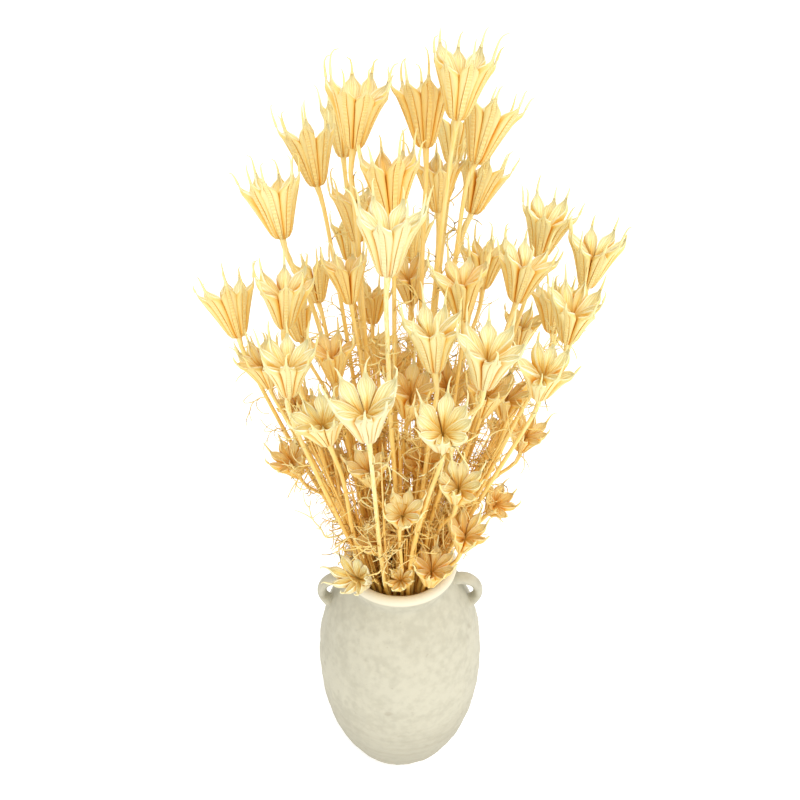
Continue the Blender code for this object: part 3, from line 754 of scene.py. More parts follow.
def make_pod_straw():
    material, tree, shader = new_material("pod straw", 0.55, GLOSS)
    uv = add_node(tree, "ShaderNodeUVMap", uv_map="UVMap")
    across, along = list(parts_of(tree, uv.outputs["UV"]))[:2]
    inside = calc(tree, "GREATER_THAN", across, INSIDE_FROM)
    outside = calc(tree, "LESS_THAN", across, OUTSIDE_TO)
    mellow = calc(tree, "SUBTRACT", 0.38, times(tree, inside, 0.2))
    height = ramp(tree, along, ((0.05, 1), (0.8, 0)))
    colour = tinted(tree, pod_bands(tree, across), HONEY, height, mellow)
    colour = pod_amber_and_shade(tree, across, along, colour)
    lines, beads = pod_lines(tree, across, along, inside, outside)
    colour = tinted(tree, colour, RIB_LINE, lines, 0.45)
    colour = tinted(tree, colour, RIB_LINE, beads, 0.55)
    patchy = ramp(tree, fine_noise(tree, 60, 3), ((0.4, 0), (0.7, 1)))
    colour = tinted(tree, colour, HONEY, patchy, mellow)
    # Painted shade: amber where the tone puts the pod in the heart of the bunch.
    colour = tinted(tree, colour, AMBER, tone_share(tree, 1.0))
    tip = ramp(tree, along, ((0.82, 0), (0.94, 1)))
    colour = tinted(tree, colour, CREAM, tip, 0.6)
    # Ashen outside where the tone is under 0, mostly on pods in front, which is partly painted
    # light.
    colour = tinted(tree, colour, ASHEN, tone_share(tree, -1.0), outside, 0.8)
    join(tree, painted_fold_shade(tree, colour), shader.inputs["Base Color"])
    relief = calc(tree, "ADD", times(tree, beads, 0.6), lines)
    raised(tree, shader, times(tree, relief, -1.0), 0.7, 0.4 * MM)
    return material


pod_straw = make_pod_straw()
print("nodes in the pods' material:", len(pod_straw.node_tree.nodes))

# %% The stems' and the threads' materials


def toned(tree, colour):
    """A colour turned to amber where the tone is over 0, painted shade in the heart of the bunch,
    and to ash where it is under, partly painted light in front.
    """
    colour = tinted(tree, colour, AMBER, tone_share(tree, 1.0))
    return tinted(tree, colour, ASHEN, tone_share(tree, -1.0))


def make_stem_straw():
    """Pale streaks along the stem, with honey patches."""
    material, tree, shader = new_material("stem straw", 0.5, GLOSS)
    streaks = fine_noise(tree, 900, 3, stretch=(1, 1, 0.04))
    colour = ramp(tree, streaks, ((0.35, HONEY), (0.65, CREAM)))
    patches = ramp(tree, fine_noise(tree, 25, 3), ((0.42, 0), (0.75, 1)))
    colour = toned(tree, tinted(tree, colour, HONEY, patches))
    join(tree, painted_fold_shade(tree, colour), shader.inputs["Base Color"])
    raised(tree, shader, streaks, 0.4, 0.2 * MM)
    return material


def make_thread_straw():
    """Awns and leaf threads: pale, and here and there golden."""
    material, tree, shader = new_material("thread straw", 0.6, GLOSS)
    patches = fine_noise(tree, 45, 2)
    colour = toned(tree, ramp(tree, patches, ((0.35, CREAM), (0.5, PALE_HONEY), (0.68, HONEY))))
    join(tree, painted_fold_shade(tree, colour), shader.inputs["Base Color"])
    return material


stem_straw = make_stem_straw()
thread_straw = make_thread_straw()
print("materials:", pod_straw.name, stem_straw.name, thread_straw.name)

# %% [markdown]
# ## One follicle
#
# A nigella pod is a ring of narrow seed cases, called follicles, which are grown
# together below and stand free above. Each is folded like a paper boat: a raised rib
# along its keel outside, two walls that bulge against the neighbours, and two papery
# lips over a deep trough. A loft follows this well. At each station from foot to tip,
# four guide lines give the keel, the crease beside it, the lip and the trough, and a
# closed ring of points is drawn through them, so that the walls have real thickness.
# Chance makes a dozen kinds for each number of lobes. A few of them stay closed.

# %% The follicle's guide lines
# Each row is a station of a pod of size 1, in millimetres: the keel's distance from the
# pod's axis and its height, then the same for the crease, the lip and the trough, and
# how much of its slice of the circle the follicle fills there
STATIONS = (
    (1.5, -0.4, 1.3, -0.2, 0.5, 0.6, 0.2, 0.8, 0.98),
    (5.0, 0.9, 4.1, 1.4, 0.6, 3.5, 0.3, 3.6, 0.98),
    (7.2, 4.8, 6.0, 5.2, 0.6, 9.0, 0.3, 8.8, 0.98),
    (9.1, 10.2, 7.7, 10.4, 0.9, 16.4, 0.6, 14.0, 0.985),
    (11.4, 16.4, 9.6, 16.6, 2.4, 21.4, 3.2, 18.0, 0.985),
    (13.5, 21.8, 11.5, 21.6, 5.2, 24.8, 7.2, 20.8, 0.98),
    (15.2, 25.9, 13.3, 25.4, 9.2, 27.4, 11.1, 24.2, 0.98),
    (16.5, 29.0, 15.1, 28.2, 12.8, 29.8, 14.3, 27.3, 0.95),
    (17.5, 31.4, 16.7, 30.3, 15.6, 31.4, 16.4, 29.8, 0.72),
    (18.2, 33.7, 17.9, 32.6, 17.4, 33.2, 17.7, 32.4, 0.29),
    (19.0, 37.4, 18.8, 37.1, 18.5, 37.5, 18.6, 37.1, 0.1),
)
SECTIONS = 13


def eased_rows(rows, count):
    """The stations' rows at even steps, on smooth curves through the rows."""
    rows = np.array(rows, float)
    knots = np.arange(len(rows))
    slope = np.gradient(rows, axis=0)
    result = []
    for s in np.linspace(0, len(rows) - 1, count):
        k = min(int(s), len(rows) - 2)
        t = s - knots[k]
        stay, leave = 2 * t ** 3 - 3 * t ** 2 + 1, t ** 3 - 2 * t ** 2 + t
        go, arrive = 3 * t ** 2 - 2 * t ** 3, t ** 3 - t ** 2
        result.append(stay * rows[k] + leave * slope[k] + go * rows[k + 1] + arrive * slope[k + 1])
    return np.array(result)


print("stations:", len(STATIONS), "rings of a follicle:", len(eased_rows(STATIONS, SECTIONS)))

# %% Half a ring of a follicle
# Where each point of half a ring lies on the way from the keel to the trough
ACROSS = (0.0, 0.05, 0.1, 0.2, 0.28, 0.35, 0.5, 0.56, 0.75, 1.0)
LIP, CUP = 6, 8
RIB_WIDTH = 1.25
RIB_RISE = 0.5
FULL_RIB_CREASE = 2.5
BULGE = 0.75
FULL_BULGE_WIDTH = 5
CUP_SHARE = (0.66, 0.66, 0.36)
RIM_SHARE = 0.3
RIM_DROP = 0.5


def half_ring(row, half_angle, narrow):
    """Points from the keel over the rib, panel, crease, lip and rim into the trough."""
    angle = half_angle * row[8] * narrow
    keel = np.array((row[0], 0, row[1]))
    crease = np.array((row[2] * cos(angle), row[2] * sin(angle), row[3]))
    lip = np.array((row[4] * cos(angle), row[4] * sin(angle), row[5]))
    trough = np.array((row[6], 0, row[7]))
    panel = crease - keel
    width = np.hypot(panel[0], panel[1])
    out = np.array((panel[1], -panel[0], 0)) / width
    rib = min(RIB_WIDTH, 0.45 * crease[1])
    rise = RIB_RISE * min(1, crease[1] / FULL_RIB_CREASE)
    swell = out * BULGE * min(1, width / FULL_BULGE_WIDTH)
    edge = keel + np.array((-0.1 * rib, rib, 0))
    foot = keel + panel * (1.25 * rib / width) - out * rise * 0.6
    cup = trough + (lip - trough) * CUP_SHARE
    rim = lip + (cup - lip) * RIM_SHARE - (0, 0, RIM_DROP * row[8])
    keel = keel + (rise * 0.4, 0, 0)
    middle, side = keel + panel * 0.5 + swell, keel + panel * 0.82 + swell * 0.85
    return np.array((keel, edge, foot, middle, side, crease, lip, rim, cup, trough))


print("points in a follicle's ring:", 2 * len(ACROSS) - 2)

# %% A follicle's rings
LOBES_BY_SIZE = ((0.79, 8), (0, 7))
KINDS = 12
CLOSED_KINDS = 3
FREE_FROM = 0.53
FREE_OVER = 0.35
END_OVER = 0.25


def drawn_traits(draw, closed):
    """What chance gives a follicle: how its lips, its width and its free end turn out."""
    gape = draw.uniform(0.15, 0.4) if closed else draw.uniform(0.8, 1.05)
    return SimpleNamespace(
        flare=draw.uniform(-0.5, 0.9), curl=draw.uniform(-0.3, 0.7), bend=draw.uniform(-2, 2),
        narrow=draw.uniform(0.76, 1.02), lean=draw.uniform(-1.4, 1.6), gape=gape,
        twist=draw.uniform(-0.9, 0.9), wave=draw.uniform(-0.4, 0.4, (2, SECTIONS)))


def follicle_rings(lobes, draw, closed):
    """The rings of a follicle, with a little chance in its lips, width and bend."""
    traits = drawn_traits(draw, closed)
    rings = []
    for k, row in enumerate(eased_rows(STATIONS, SECTIONS)):
        free = np.clip((k / (SECTIONS - 1) - FREE_FROM) / FREE_OVER, 0, 1)
        end = np.clip((1 - k / (SECTIONS - 1)) / END_OVER, 0, 1)
        half = half_ring(row, pi / lobes, 1 - (1 - traits.narrow) * free)
        half[LIP:CUP + 1, 1] *= 1 - (1 - traits.gape) * free
        other = half * (1, -1, 1)
        for side, lips, way in ((half, traits.wave[0, k], 1), (other, traits.wave[1, k], -1)):
            side[LIP:CUP, 2] += (traits.flare + lips + way * traits.twist) * free * end
            side[LIP:CUP, 1] += way * traits.curl * traits.gape * free * end
        ring = np.vstack((half, other[-2:0:-1]))
        ring[:, 0] += traits.lean * free ** 2
        ring[:, 1] += traits.bend * free ** 2
        rings.append(ring)
    return rings


print("lobes of a pod:", " or ".join(str(lobes) for _, lobes in LOBES_BY_SIZE))

# %% Loft the follicles
FOLD_ANGLE = radians(62)


def loft(edit, rings):
    """Faces between rings of points, in their order, then one at each end."""
    rings = [[edit.verts.new(point) for point in ring] for ring in rings]
    for low, high in zip(rings[:-1], rings[1:]):
        for n in range(len(low)):
            m = (n + 1) % len(low)
            edit.faces.new((low[n], low[m], high[m], high[n]))
    edit.faces.new(rings[0][::-1])
    edit.faces.new(rings[-1])


def finished_mesh(edit, name, smooth):
    """The mesh of an edit, with its faces turned outwards."""
    for face in edit.faces:
        face.smooth = smooth
    bmesh.ops.recalc_face_normals(edit, faces=edit.faces)
    mesh = bpy.data.meshes.new(name)
    edit.to_mesh(mesh)
    edit.free()
    return mesh


def follicle_mesh(name, outline):
    """A closed follicle with its keel along +X, its foot at the origin, in metres."""
    edit = bmesh.new()
    uv = edit.loops.layers.uv.new("UVMap")
    loft(edit, [ring * MM for ring in outline])
    marks = ACROSS + ACROSS[-2::-1]
    count = len(outline[0])
    for number, face in enumerate(list(edit.faces)[:count * (SECTIONS - 1)]):
        k, n = divmod(number, count)
        low, high = k / (SECTIONS - 1), (k + 1) / (SECTIONS - 1)
        places = ((n, low), (n + 1, low), (n + 1, high), (n, high))
        for loop, (mark, along) in zip(face.loops, places):
            loop[uv].uv = (marks[mark], along)
    mesh = finished_mesh(edit, name, smooth=True)
    mesh.set_sharp_from_angle(angle=FOLD_ANGLE)
    return mesh


def workshop_collection(name):
    collection = bpy.data.collections.new(name)
    workshop.children.link(collection)
    return collection


def make_follicles():
    """Follicles of several kinds for each number of lobes, and where their tips point."""
    draw = np.random.default_rng(SEED)
    shelf = workshop_collection("follicles")
    tips = []
    for lobes in (7, 8):
        for kind in range(KINDS):
            name = f"follicle_{lobes}_{kind:02d}"
            outline = follicle_rings(lobes, draw, kind < CLOSED_KINDS)
            placed(name, follicle_mesh(name, outline), shelf)
            tips.append((outline[-2].mean(axis=0), outline[-1].mean(axis=0)))
    return shelf, tips


follicle_shelf, follicle_tips = make_follicles()

# %% [markdown]
# ## Thread leaves
#
# Nigella's leaves are cut into threads as fine as hair. Dried, they curl along the
# stems as little tangles. Hair curves would be lost in the export, so a handful of
# sprigs is modelled once, each a curved thread with side threads, and a geometry tree
# sets copies of them along the stems.

# %% Draw a thin thread
THREAD_SIDES = 3


def thread_between(edit, points, thick, thin):
    """A three-sided thread that tapers along its points, closed at both ends."""
    points = [Vector(p) for p in points]
    last = len(points) - 1
    rings = []
    for k, point in enumerate(points):
        along = (points[min(k + 1, last)] - points[max(k - 1, 0)]).normalized()
        side = along.orthogonal().normalized()
        radius = thick + (thin - thick) * k / last
        rings.append([point + Quaternion(along, tau * n / THREAD_SIDES) @ side * radius
                      for n in range(THREAD_SIDES)])
    loft(edit, rings)


def curled(start, direction, length, curl, draw, count):
    """Points of a thread that starts in one direction and curls as it goes."""
    points, place = [Vector(start)], Vector(start)
    turn_axis = Vector(draw.normal(size=3)).normalized()
    heading = Vector(direction).normalized()
    for _ in range(count):
        heading = Quaternion(turn_axis, curl / count * draw.uniform(0.5, 1.5)) @ heading
        place = place + heading * length / count
        points.append(place.copy())
    return points


print("sides of a thread:", THREAD_SIDES)

# %% Model the sprigs
SPRIGS = 16
SPRIG_LENGTH = (16 * MM, 38 * MM)
SPRIG_THICKNESS = 0.66 * MM
SPRIG_TIP = 0.36 * MM
SPRIG_CURL = (1.5, 6)
RIB_STEPS = 10
TWIG_STEPS = 6
TWIG_PLACES = (2, 4, 6)
TWIG_SHARE = (0.45, 0.9)
TWIG_CURL = (1.2, 5)


def sprig_mesh(name, draw):
    """A leaf: one curved thread with side threads, leaving the origin along +X."""
    edit = bmesh.new()
    length = draw.uniform(*SPRIG_LENGTH)
    rib = curled((0, 0, 0), (1, 0, 1.1), length, draw.uniform(*SPRIG_CURL), draw, RIB_STEPS)
    thread_between(edit, rib, SPRIG_THICKNESS, SPRIG_TIP)
    for n, k in enumerate(TWIG_PLACES):
        way = (rib[k] - rib[k - 1]).normalized()
        side = way.orthogonal().normalized() * (1 if n % 2 else -1)
        side = Quaternion(way, draw.uniform(-0.9, 0.9)) @ side
        reach = length * draw.uniform(*TWIG_SHARE)
        twig = curled(rib[k], way + side * 0.8, reach, draw.uniform(*TWIG_CURL), draw, TWIG_STEPS)
        thread_between(edit, twig, SPRIG_THICKNESS * 0.85, SPRIG_TIP)
    return finished_mesh(edit, name, smooth=True)


def make_sprigs():
    draw = np.random.default_rng(SEED + 1)
    shelf = workshop_collection("sprigs")
    for kind in range(SPRIGS):
        name = f"sprig_{kind:02d}"
        placed(name, sprig_mesh(name, draw), shelf)
    return shelf


sprig_shelf = make_sprigs()

# %% [markdown]
# ## A tree that draws threads along paths
#
# Stems, shoots and awns are all long thin things that follow a path, so one geometry
# tree makes them. It turns the mesh's edges into smooth curves, walks along them in
# even steps, and draws a ribbed outline along them, thick or thin as the path says.

# %% Threads along paths


def smooth_paths(tree, given):
    """The edges of a tree's mesh as smooth curves."""
    return chain(tree, given["Geometry"], add_node(tree, "GeometryNodeMeshToCurve"),
                 add_node(tree, "GeometryNodeCurveSplineType", spline_type="CATMULL_ROM"))


def finish_tree(tree, given, end, geometry, *nodes):
    """The last nodes, then the material that the tree is given, then its output."""
    paint = add_node(tree, "GeometryNodeSetMaterial", {"Material": given["Material"]})
    join(tree, chain(tree, geometry, *nodes, paint), end.inputs["Geometry"])


def ribbed_outline(tree, given):
    """A circle of the given sides, every other point drawn in for the ribs."""
    circle = add_node(tree, "GeometryNodeCurvePrimitiveCircle", {
        "Resolution": given["Sides"], "Radius": 1})
    place = add_node(tree, "GeometryNodeInputPosition").outputs["Position"]
    index = add_node(tree, "GeometryNodeInputIndex").outputs["Index"]
    share = times(tree, calc(tree, "MODULO", index, 2), given["Rib depth"], -1)
    shrink = add_node(tree, "ShaderNodeVectorMath", {"Vector": place}, operation="SCALE")
    join(tree, share, shrink.inputs["Scale"])
    ribs = add_node(tree, "GeometryNodeSetPosition", {"Offset": shrink.outputs["Vector"]})
    return chain(tree, circle.outputs["Curve"], ribs)


def make_thread_tree():
    tree, given, end = start_tree("threads along paths", (
        ("Step", "Float"), ("Sides", "Int"), ("Rib depth", "Float"), ("Material", "Material")))
    steps = add_node(tree, "GeometryNodeResampleCurve", {"Length": given["Step"]}, mode="LENGTH")
    sweep = add_node(tree, "GeometryNodeCurveToMesh", {
        "Fill Caps": True, "Profile Curve": ribbed_outline(tree, given),
        "Scale": named(tree, "thickness", "FLOAT")})
    shade = add_node(tree, "GeometryNodeSetShadeSmooth")
    finish_tree(tree, given, end, smooth_paths(tree, given), steps, sweep, shade)
    return tree


thread_tree = make_thread_tree()
print("nodes of the thread tree:", len(thread_tree.nodes))

# %% [markdown]
# ## A tree that sets follicles and leaves
#
# Both are copies from a shelf of a few kinds. A follicle's place, turn and size come
# from the mesh that carries the plan. Leaves are set at random along the stems with a
# fixed seed, so they are the same each time: many low in the crowded heart of the
# bunch, few on a lonely stem, and hardly any high up.

# %% Follicles in their places


def shelf_of(tree, collection):
    """The objects of a shelf as separate instances, each in its own space."""
    return add_node(tree, "GeometryNodeCollectionInfo", {
        "Collection": collection, "Separate Children": True,
        "Reset Children": True}).outputs["Instances"]


def make_follicle_tree():
    tree, given, end = start_tree("follicles in place", (("Material", "Material"),))
    turned = named(tree, "turned", "FLOAT_VECTOR")
    copies = add_node(tree, "GeometryNodeInstanceOnPoints", {
        "Pick Instance": True, "Instance": shelf_of(tree, follicle_shelf),
        "Instance Index": named(tree, "kind", "INT"),
        "Rotation": chain(tree, turned, add_node(tree, "FunctionNodeEulerToRotation")),
        "Scale": named(tree, "grown", "FLOAT_VECTOR")})
    real = add_node(tree, "GeometryNodeRealizeInstances")
    finish_tree(tree, given, end, given["Geometry"], copies, real)
    return tree


follicle_tree = make_follicle_tree()
print("nodes of the follicle tree:", len(follicle_tree.nodes))

# %% Where a leaf grows
LEAFY_BELOW = 0.42
BARE_ABOVE = 0.54
BARE_SHARE = 0.1
LONELY_LEAVES = 0.22


def random_value(tree, kind, low, high, seed, shift):
    """A random number for each point, with a seed of its own."""
    node = add_node(tree, "FunctionNodeRandomValue", data_type=kind)
    sockets = [s for s in node.inputs if s.enabled and s.name in ("Min", "Max")]
    for socket, value in zip(sockets, (low, high)):
        socket.default_value = value
    join(tree, calc(tree, "ADD", seed, shift), node.inputs["Seed"])
    return next(s for s in node.outputs if s.enabled)


def leaf_grows(tree, given):
    """Whether a leaf grows at a point: never in the vase, and mostly in the crowd."""
    place = add_node(tree, "GeometryNodeInputPosition").outputs["Position"]
    height = parts_of(tree, place)["Z"]
    fewer = add_node(tree, "ShaderNodeMapRange", {
        "Value": height, "From Min": LEAFY_BELOW, "From Max": BARE_ABOVE,
        "To Min": 1, "To Max": BARE_SHARE})
    crowded = calc(tree, "POWER", named(tree, "tone", "FLOAT"), 2.0)
    crowded = calc(tree, "MULTIPLY_ADD", crowded, 1 - LONELY_LEAVES, LONELY_LEAVES)
    share = times(tree, given["Leaf share"], fewer.outputs["Result"], crowded)
    chance = random_value(tree, "FLOAT", 0, 1, given["Seed"], 1)
    high = calc(tree, "GREATER_THAN", height, given["Lowest leaf"])
    return times(tree, high, calc(tree, "LESS_THAN", chance, share))


print("leaves thin out from", LEAFY_BELOW, "to", BARE_ABOVE, "m")

# %% Leaves along the stems
LEAF_TONE = 0.7
LEAF_GROWTH = (0.55, 1.25)


def make_leaf_tree():
    tree, given, end = start_tree("leaves along stems", (
        ("Leaf step", "Float"), ("Lowest leaf", "Float"), ("Leaf share", "Float"),
        ("Seed", "Int"), ("Material", "Material")))
    seed = given["Seed"]
    points = add_node(tree, "GeometryNodeCurveToPoints", {"Length": given["Leaf step"]},
                      mode="LENGTH")
    soften = add_node(tree, "GeometryNodeStoreNamedAttribute", {
        "Name": "tone", "Value": times(tree, named(tree, "tone", "FLOAT"), LEAF_TONE)})
    spin = add_node(tree, "FunctionNodeAxisAngleToRotation", {
        "Axis": (0, 0, 1), "Angle": random_value(tree, "FLOAT", 0, tau, seed, 3)})
    turn = add_node(tree, "FunctionNodeRotateRotation", {
        "Rotation": points.outputs["Rotation"], "Rotate By": spin.outputs["Rotation"]},
        rotation_space="LOCAL")
    copies = add_node(tree, "GeometryNodeInstanceOnPoints", {
        "Selection": leaf_grows(tree, given), "Pick Instance": True,
        "Instance": shelf_of(tree, sprig_shelf), "Rotation": turn.outputs["Rotation"],
        "Instance Index": random_value(tree, "INT", 0, SPRIGS - 1, seed, 2),
        "Scale": random_value(tree, "FLOAT", *LEAF_GROWTH, seed, 4)})
    real = add_node(tree, "GeometryNodeRealizeInstances")
    finish_tree(tree, given, end, smooth_paths(tree, given), points, soften, copies, real)
    return tree


leaf_tree = make_leaf_tree()
print("nodes of the leaf tree:", len(leaf_tree.nodes))

# %% [markdown]
# ## The whole stalk as one tree
#
# A stalk's plan is a light mesh: edges for stems and awns, single points for
# follicles. A number on every point says which part it belongs to. The tree sorts the
# parts, hands each to its own tree, and joins the results to one mesh.

# %% One tree for a stalk
STEM, AWN, FOLLICLE = 0, 1, 2
STEM_STEP = 9 * MM
STEM_SIDES = 10
STEM_RIB = 0.16
AWN_STEP = 2.4 * MM
AWN_SIDES = 5
LEAF_STEP = 6 * MM
LEAF_SHARE = 0.9
LOWEST_LEAF = 252 * MM


def sorted_part(tree, geometry, part):
    """Only the points and edges of one part."""
    is_part = calc(tree, "COMPARE", named(tree, "part", "INT"), part, 0.1)
    return add_node(tree, "GeometryNodeSeparateGeometry", {
        "Geometry": geometry, "Selection": is_part}, domain="POINT").outputs["Selection"]


def use_tree(tree, inner, geometry, **values):
    """A tree used inside another one, with its inputs by their names in small letters."""
    inputs = {name.replace("_", " ").capitalize(): value for name, value in values.items()}
    group = add_node(tree, "GeometryNodeGroup", {"Geometry": geometry, **inputs}, node_tree=inner)
    return group.outputs["Geometry"]


def make_stalk_tree():
    tree, given, end = start_tree("nigella stalk", (
        ("Pod material", "Material"), ("Stem material", "Material"),
        ("Thread material", "Material"), ("Stem step", "Float"), ("Awn step", "Float"),
        ("Leaf step", "Float"), ("Seed", "Int")))
    stems, awns, follicles = (sorted_part(tree, given["Geometry"], part)
                              for part in (STEM, AWN, FOLLICLE))
    thread_paint = given["Thread material"]
    together = add_node(tree, "GeometryNodeJoinGeometry")
    for part in (
            use_tree(tree, thread_tree, stems, step=given["Stem step"], sides=STEM_SIDES,
                     rib_depth=STEM_RIB, material=given["Stem material"]),
            use_tree(tree, thread_tree, awns, step=given["Awn step"], sides=AWN_SIDES,
                     rib_depth=0.0, material=thread_paint),
            use_tree(tree, follicle_tree, follicles, material=given["Pod material"]),
            use_tree(tree, leaf_tree, stems, leaf_step=given["Leaf step"], seed=given["Seed"],
                     lowest_leaf=LOWEST_LEAF, leaf_share=LEAF_SHARE, material=thread_paint)):
        join(tree, part, together.inputs["Geometry"])
    real = add_node(tree, "GeometryNodeRealizeInstances")
    join(tree, chain(tree, together.outputs["Geometry"], real), end.inputs["Geometry"])
    return tree


stalk_tree = make_stalk_tree()
print("trees:", len(bpy.data.node_groups))

# %% [markdown]
# ## A stalk's plan
#
# Now the settled bunch becomes plans. The stem runs from the vase's floor through its
# knots into the pod. Round each pod's foot stand its follicles, every one turned by
# an even share of the circle, with a little chance in its tilt and size. From each
# follicle's tip an awn goes on, thin as a hair at its end, curled and often hooked.

# %% Collect a plan's points
PLAIN_VALUES = {"part": 0, "kind": 0, "thickness": 0.0, "tone": 0.0,
                "turned": (0, 0, 0), "grown": (1, 1, 1)}
ATTRIBUTES = {int: "INT", float: "FLOAT", tuple: "FLOAT_VECTOR"}


class Plan:
    """Points with their part, kind, thickness, tone, turn and growth, and their edges."""

    def __init__(self):
        self.points, self.edges = [], []
        self.values = {name: [] for name in PLAIN_VALUES}

    def add(self, point, **given):
        self.points.append(tuple(point))
        for name, plain in PLAIN_VALUES.items():
            self.values[name].append(given.get(name, plain))

    def add_line(self, points, part, thickness, tones):
        first = len(self.points)
        for point, thick, tone in zip(points, thickness, tones):
            self.add(point, part=part, thickness=thick, tone=tone)
        self.edges += [(first + n, first + n + 1) for n in range(len(points) - 1)]

    def mesh(self, name):
        mesh = bpy.data.meshes.new(name)
        mesh.from_pydata(self.points, self.edges, [])
        for label, plain in PLAIN_VALUES.items():
            field = "vector" if isinstance(plain, tuple) else "value"
            whole = int if isinstance(plain, int) else float
            flat = np.array(self.values[label], whole).ravel()
            attribute = mesh.attributes.new(label, ATTRIBUTES[type(plain)], "POINT")
            attribute.data.foreach_set(field, flat)
        return mesh


print("values on each point:", ", ".join(PLAIN_VALUES))

# %% Painted shade and light: how golden or ashen a place is
BUNCH_LEVELS = (0.24, 0.35, 0.45, 0.55, 0.65)
BUNCH_REACH = (0.045, 0.09, 0.115, 0.095, 0.05)
HEART_EDGE = 1.15
SHADE_TOP = 0.5
SHADE_OVER = 0.16
FRONT_FROM = 0.03
FRONT_OVER = 0.07


def in_shade(point):
    """How much gold shade is painted on a place in the bunch: 0 outside and high up, 1 low in its
    heart.
    """
    low = np.clip((SHADE_TOP - point[2]) / SHADE_OVER, 0, 1)
    reach = np.interp(point[2], BUNCH_LEVELS, BUNCH_REACH)
    heart = np.clip(HEART_EDGE - np.hypot(point[0], point[1]) / reach, 0, 1)
    return float(0.5 * low + 0.5 * heart)


def in_front(point):
    """How far a point stands out of the bunch towards the front, from 0 to 1."""
    return float(np.clip((-point[1] - FRONT_FROM) / FRONT_OVER, 0, 1))


print("shade over the neck:", in_shade((0, 0, NECK_LEVEL)))

# %% The stem's part of a plan
POD_SUNK = 2.2 * MM
STEM_THICKNESS = 1.62 * MM
BRANCH_THICKNESS = 1.25 * MM
FOOT_SWELL = 1.3
STEM_TAPER = 0.35
POD_SWELL = 1.6
STEM_FRONT_ASH_AND_LIGHT = 0.4


def stem_line(i):
    """A stem's points from the floor, or from its fork, into its pod."""
    first = bunch.fork[i] if bunch.parent[i] != i else 0
    last = bunch.knots[i] + 2
    line = np.column_stack((bunch.place[i, first:last], bunch.height[i, first:last]))
    line[-1] = line[-1] + bunch.axis[i] * POD_SUNK
    return line


def plan_stem(plan, i):
    line = stem_line(i)
    thick = STEM_THICKNESS if bunch.parent[i] == i else BRANCH_THICKNESS
    thickness = thick * (FOOT_SWELL - STEM_TAPER * np.linspace(0, 1, len(line)))
    thickness[-1] *= POD_SWELL
    # Painted shade turns the stem gold in the heart of the bunch; in front it turns ashen, partly
    # painted light.
    tones = [in_shade(point) - STEM_FRONT_ASH_AND_LIGHT * in_front(point) for point in line]
    plan.add_line(line, STEM, thickness, tones)


print("points of the first stem:", len(stem_line(0)))

# %% [markdown]
# ## Shoots between the stems, and a loose sprig
#
# A real bunch is fuller than its pods tell: thin shoots without a pod stand between
# the stems, and a small branch hangs out low on the left. The shoots follow a stem's
# own path, each drawn a few millimetres towards the bunch's heart, so they never leave
# the bunch. The loose branch is drawn point by point, with a brush of threads.

# %% Shoots beside a stem
SHOOTS = 4
SHOOT_START = 200 * MM
SHOOT_TOP = (0.29, 0.47)
SHOOT_BELOW_POD = 25 * MM
SHOOT_INWARD = (2.5, 9)
SHOOT_ASIDE = 7
SHOOT_THICKNESS = np.linspace(0.95, 0.35, 8) * MM
MIDDLE_ROOM = 6 * MM


def plan_shoots(plan, line, draw):
    """Thin shoots that rise beside a stem, on the side of the bunch's heart."""
    for _ in range(SHOOTS):
        top = min(draw.uniform(*SHOOT_TOP), line[-1, 2] - SHOOT_BELOW_POD)
        heights = np.linspace(SHOOT_START, top, len(SHOOT_THICKNESS))
        flat = np.column_stack([np.interp(heights, line[:, 2], line[:, k]) for k in (0, 1)])
        inward = -flat / (np.linalg.norm(flat, axis=1)[:, None] + MIDDLE_ROOM)
        aside = np.column_stack((-inward[:, 1], inward[:, 0]))
        rise = np.linspace(0, 1, len(heights))[:, None]
        drift = draw.uniform(*SHOOT_INWARD) * inward
        drift = drift + draw.uniform(-1, 1) * SHOOT_ASIDE * rise * aside
        places = np.column_stack((flat + drift * MM, heights))
        plan.add_line(places, AWN, SHOOT_THICKNESS, [in_shade(p) for p in places])


print("shoots beside each stalk:", SHOOTS)

# %% The loose sprig at the left
SPRIG_STEM = 18
LOOSE_SPRIG = np.array((
    (-41.9, -16, 284.4), (-51, -18, 281), (-59.6, -20, 281.5), (-63.3, -20, 290),
    (-69.5, -20, 301), (-71.3, -20, 313))) * MM
SPRIG_TONE = 0.1
SPRIG_TWIGS = 9
TWIG_REACH = (6, 14)
TWIG_POINTS = 5
TWIG_TONE = -0.3


def plan_loose_sprig(plan, draw):
    """The small branch that leaves the bunch low on the left, with a brush of threads."""
    count = len(LOOSE_SPRIG)
    plan.add_line(LOOSE_SPRIG, AWN, np.linspace(0.9, 0.5, count) * MM, [SPRIG_TONE] * count)
    share = np.linspace(0, 1, TWIG_POINTS)[:, None]
    for n in range(SPRIG_TWIGS):
        start = LOOSE_SPRIG[2 + n % 4]
        way = np.array((draw.uniform(-1, 0.5), draw.uniform(-0.5, 0.3), draw.uniform(0.1, 1.1)))
        bend = draw.uniform(-0.6, 0.6, 3)
        twig = start + (way * share + bend * share ** 2) * draw.uniform(*TWIG_REACH) * MM
        thickness = np.linspace(0.6, 0.3, TWIG_POINTS) * MM
        plan.add_line(twig, AWN, thickness, [TWIG_TONE] * TWIG_POINTS)


print("twigs on the loose sprig:", SPRIG_TWIGS)

# %% [markdown]
# ## The pods' part of a plan
#
# Each pod stands on its stem's end, a little more upright than the stem, and the high
# ones lean back, as in the picture. Two small pods lie in the vase's mouth: one spreads
# to the left over the lip, and one in the middle is still folded. An awn that would
# reach past the plain model's box is shortened until it fits, and held inside the box.

# %% Where a pod points
ACROSS_EVERY_POD = (0.31, 0.95, 0.05)
UPRIGHT = (0.74, 1, 1)
BACKWARD = 0.18
HIGH_PODS = (0.4, 0.48)


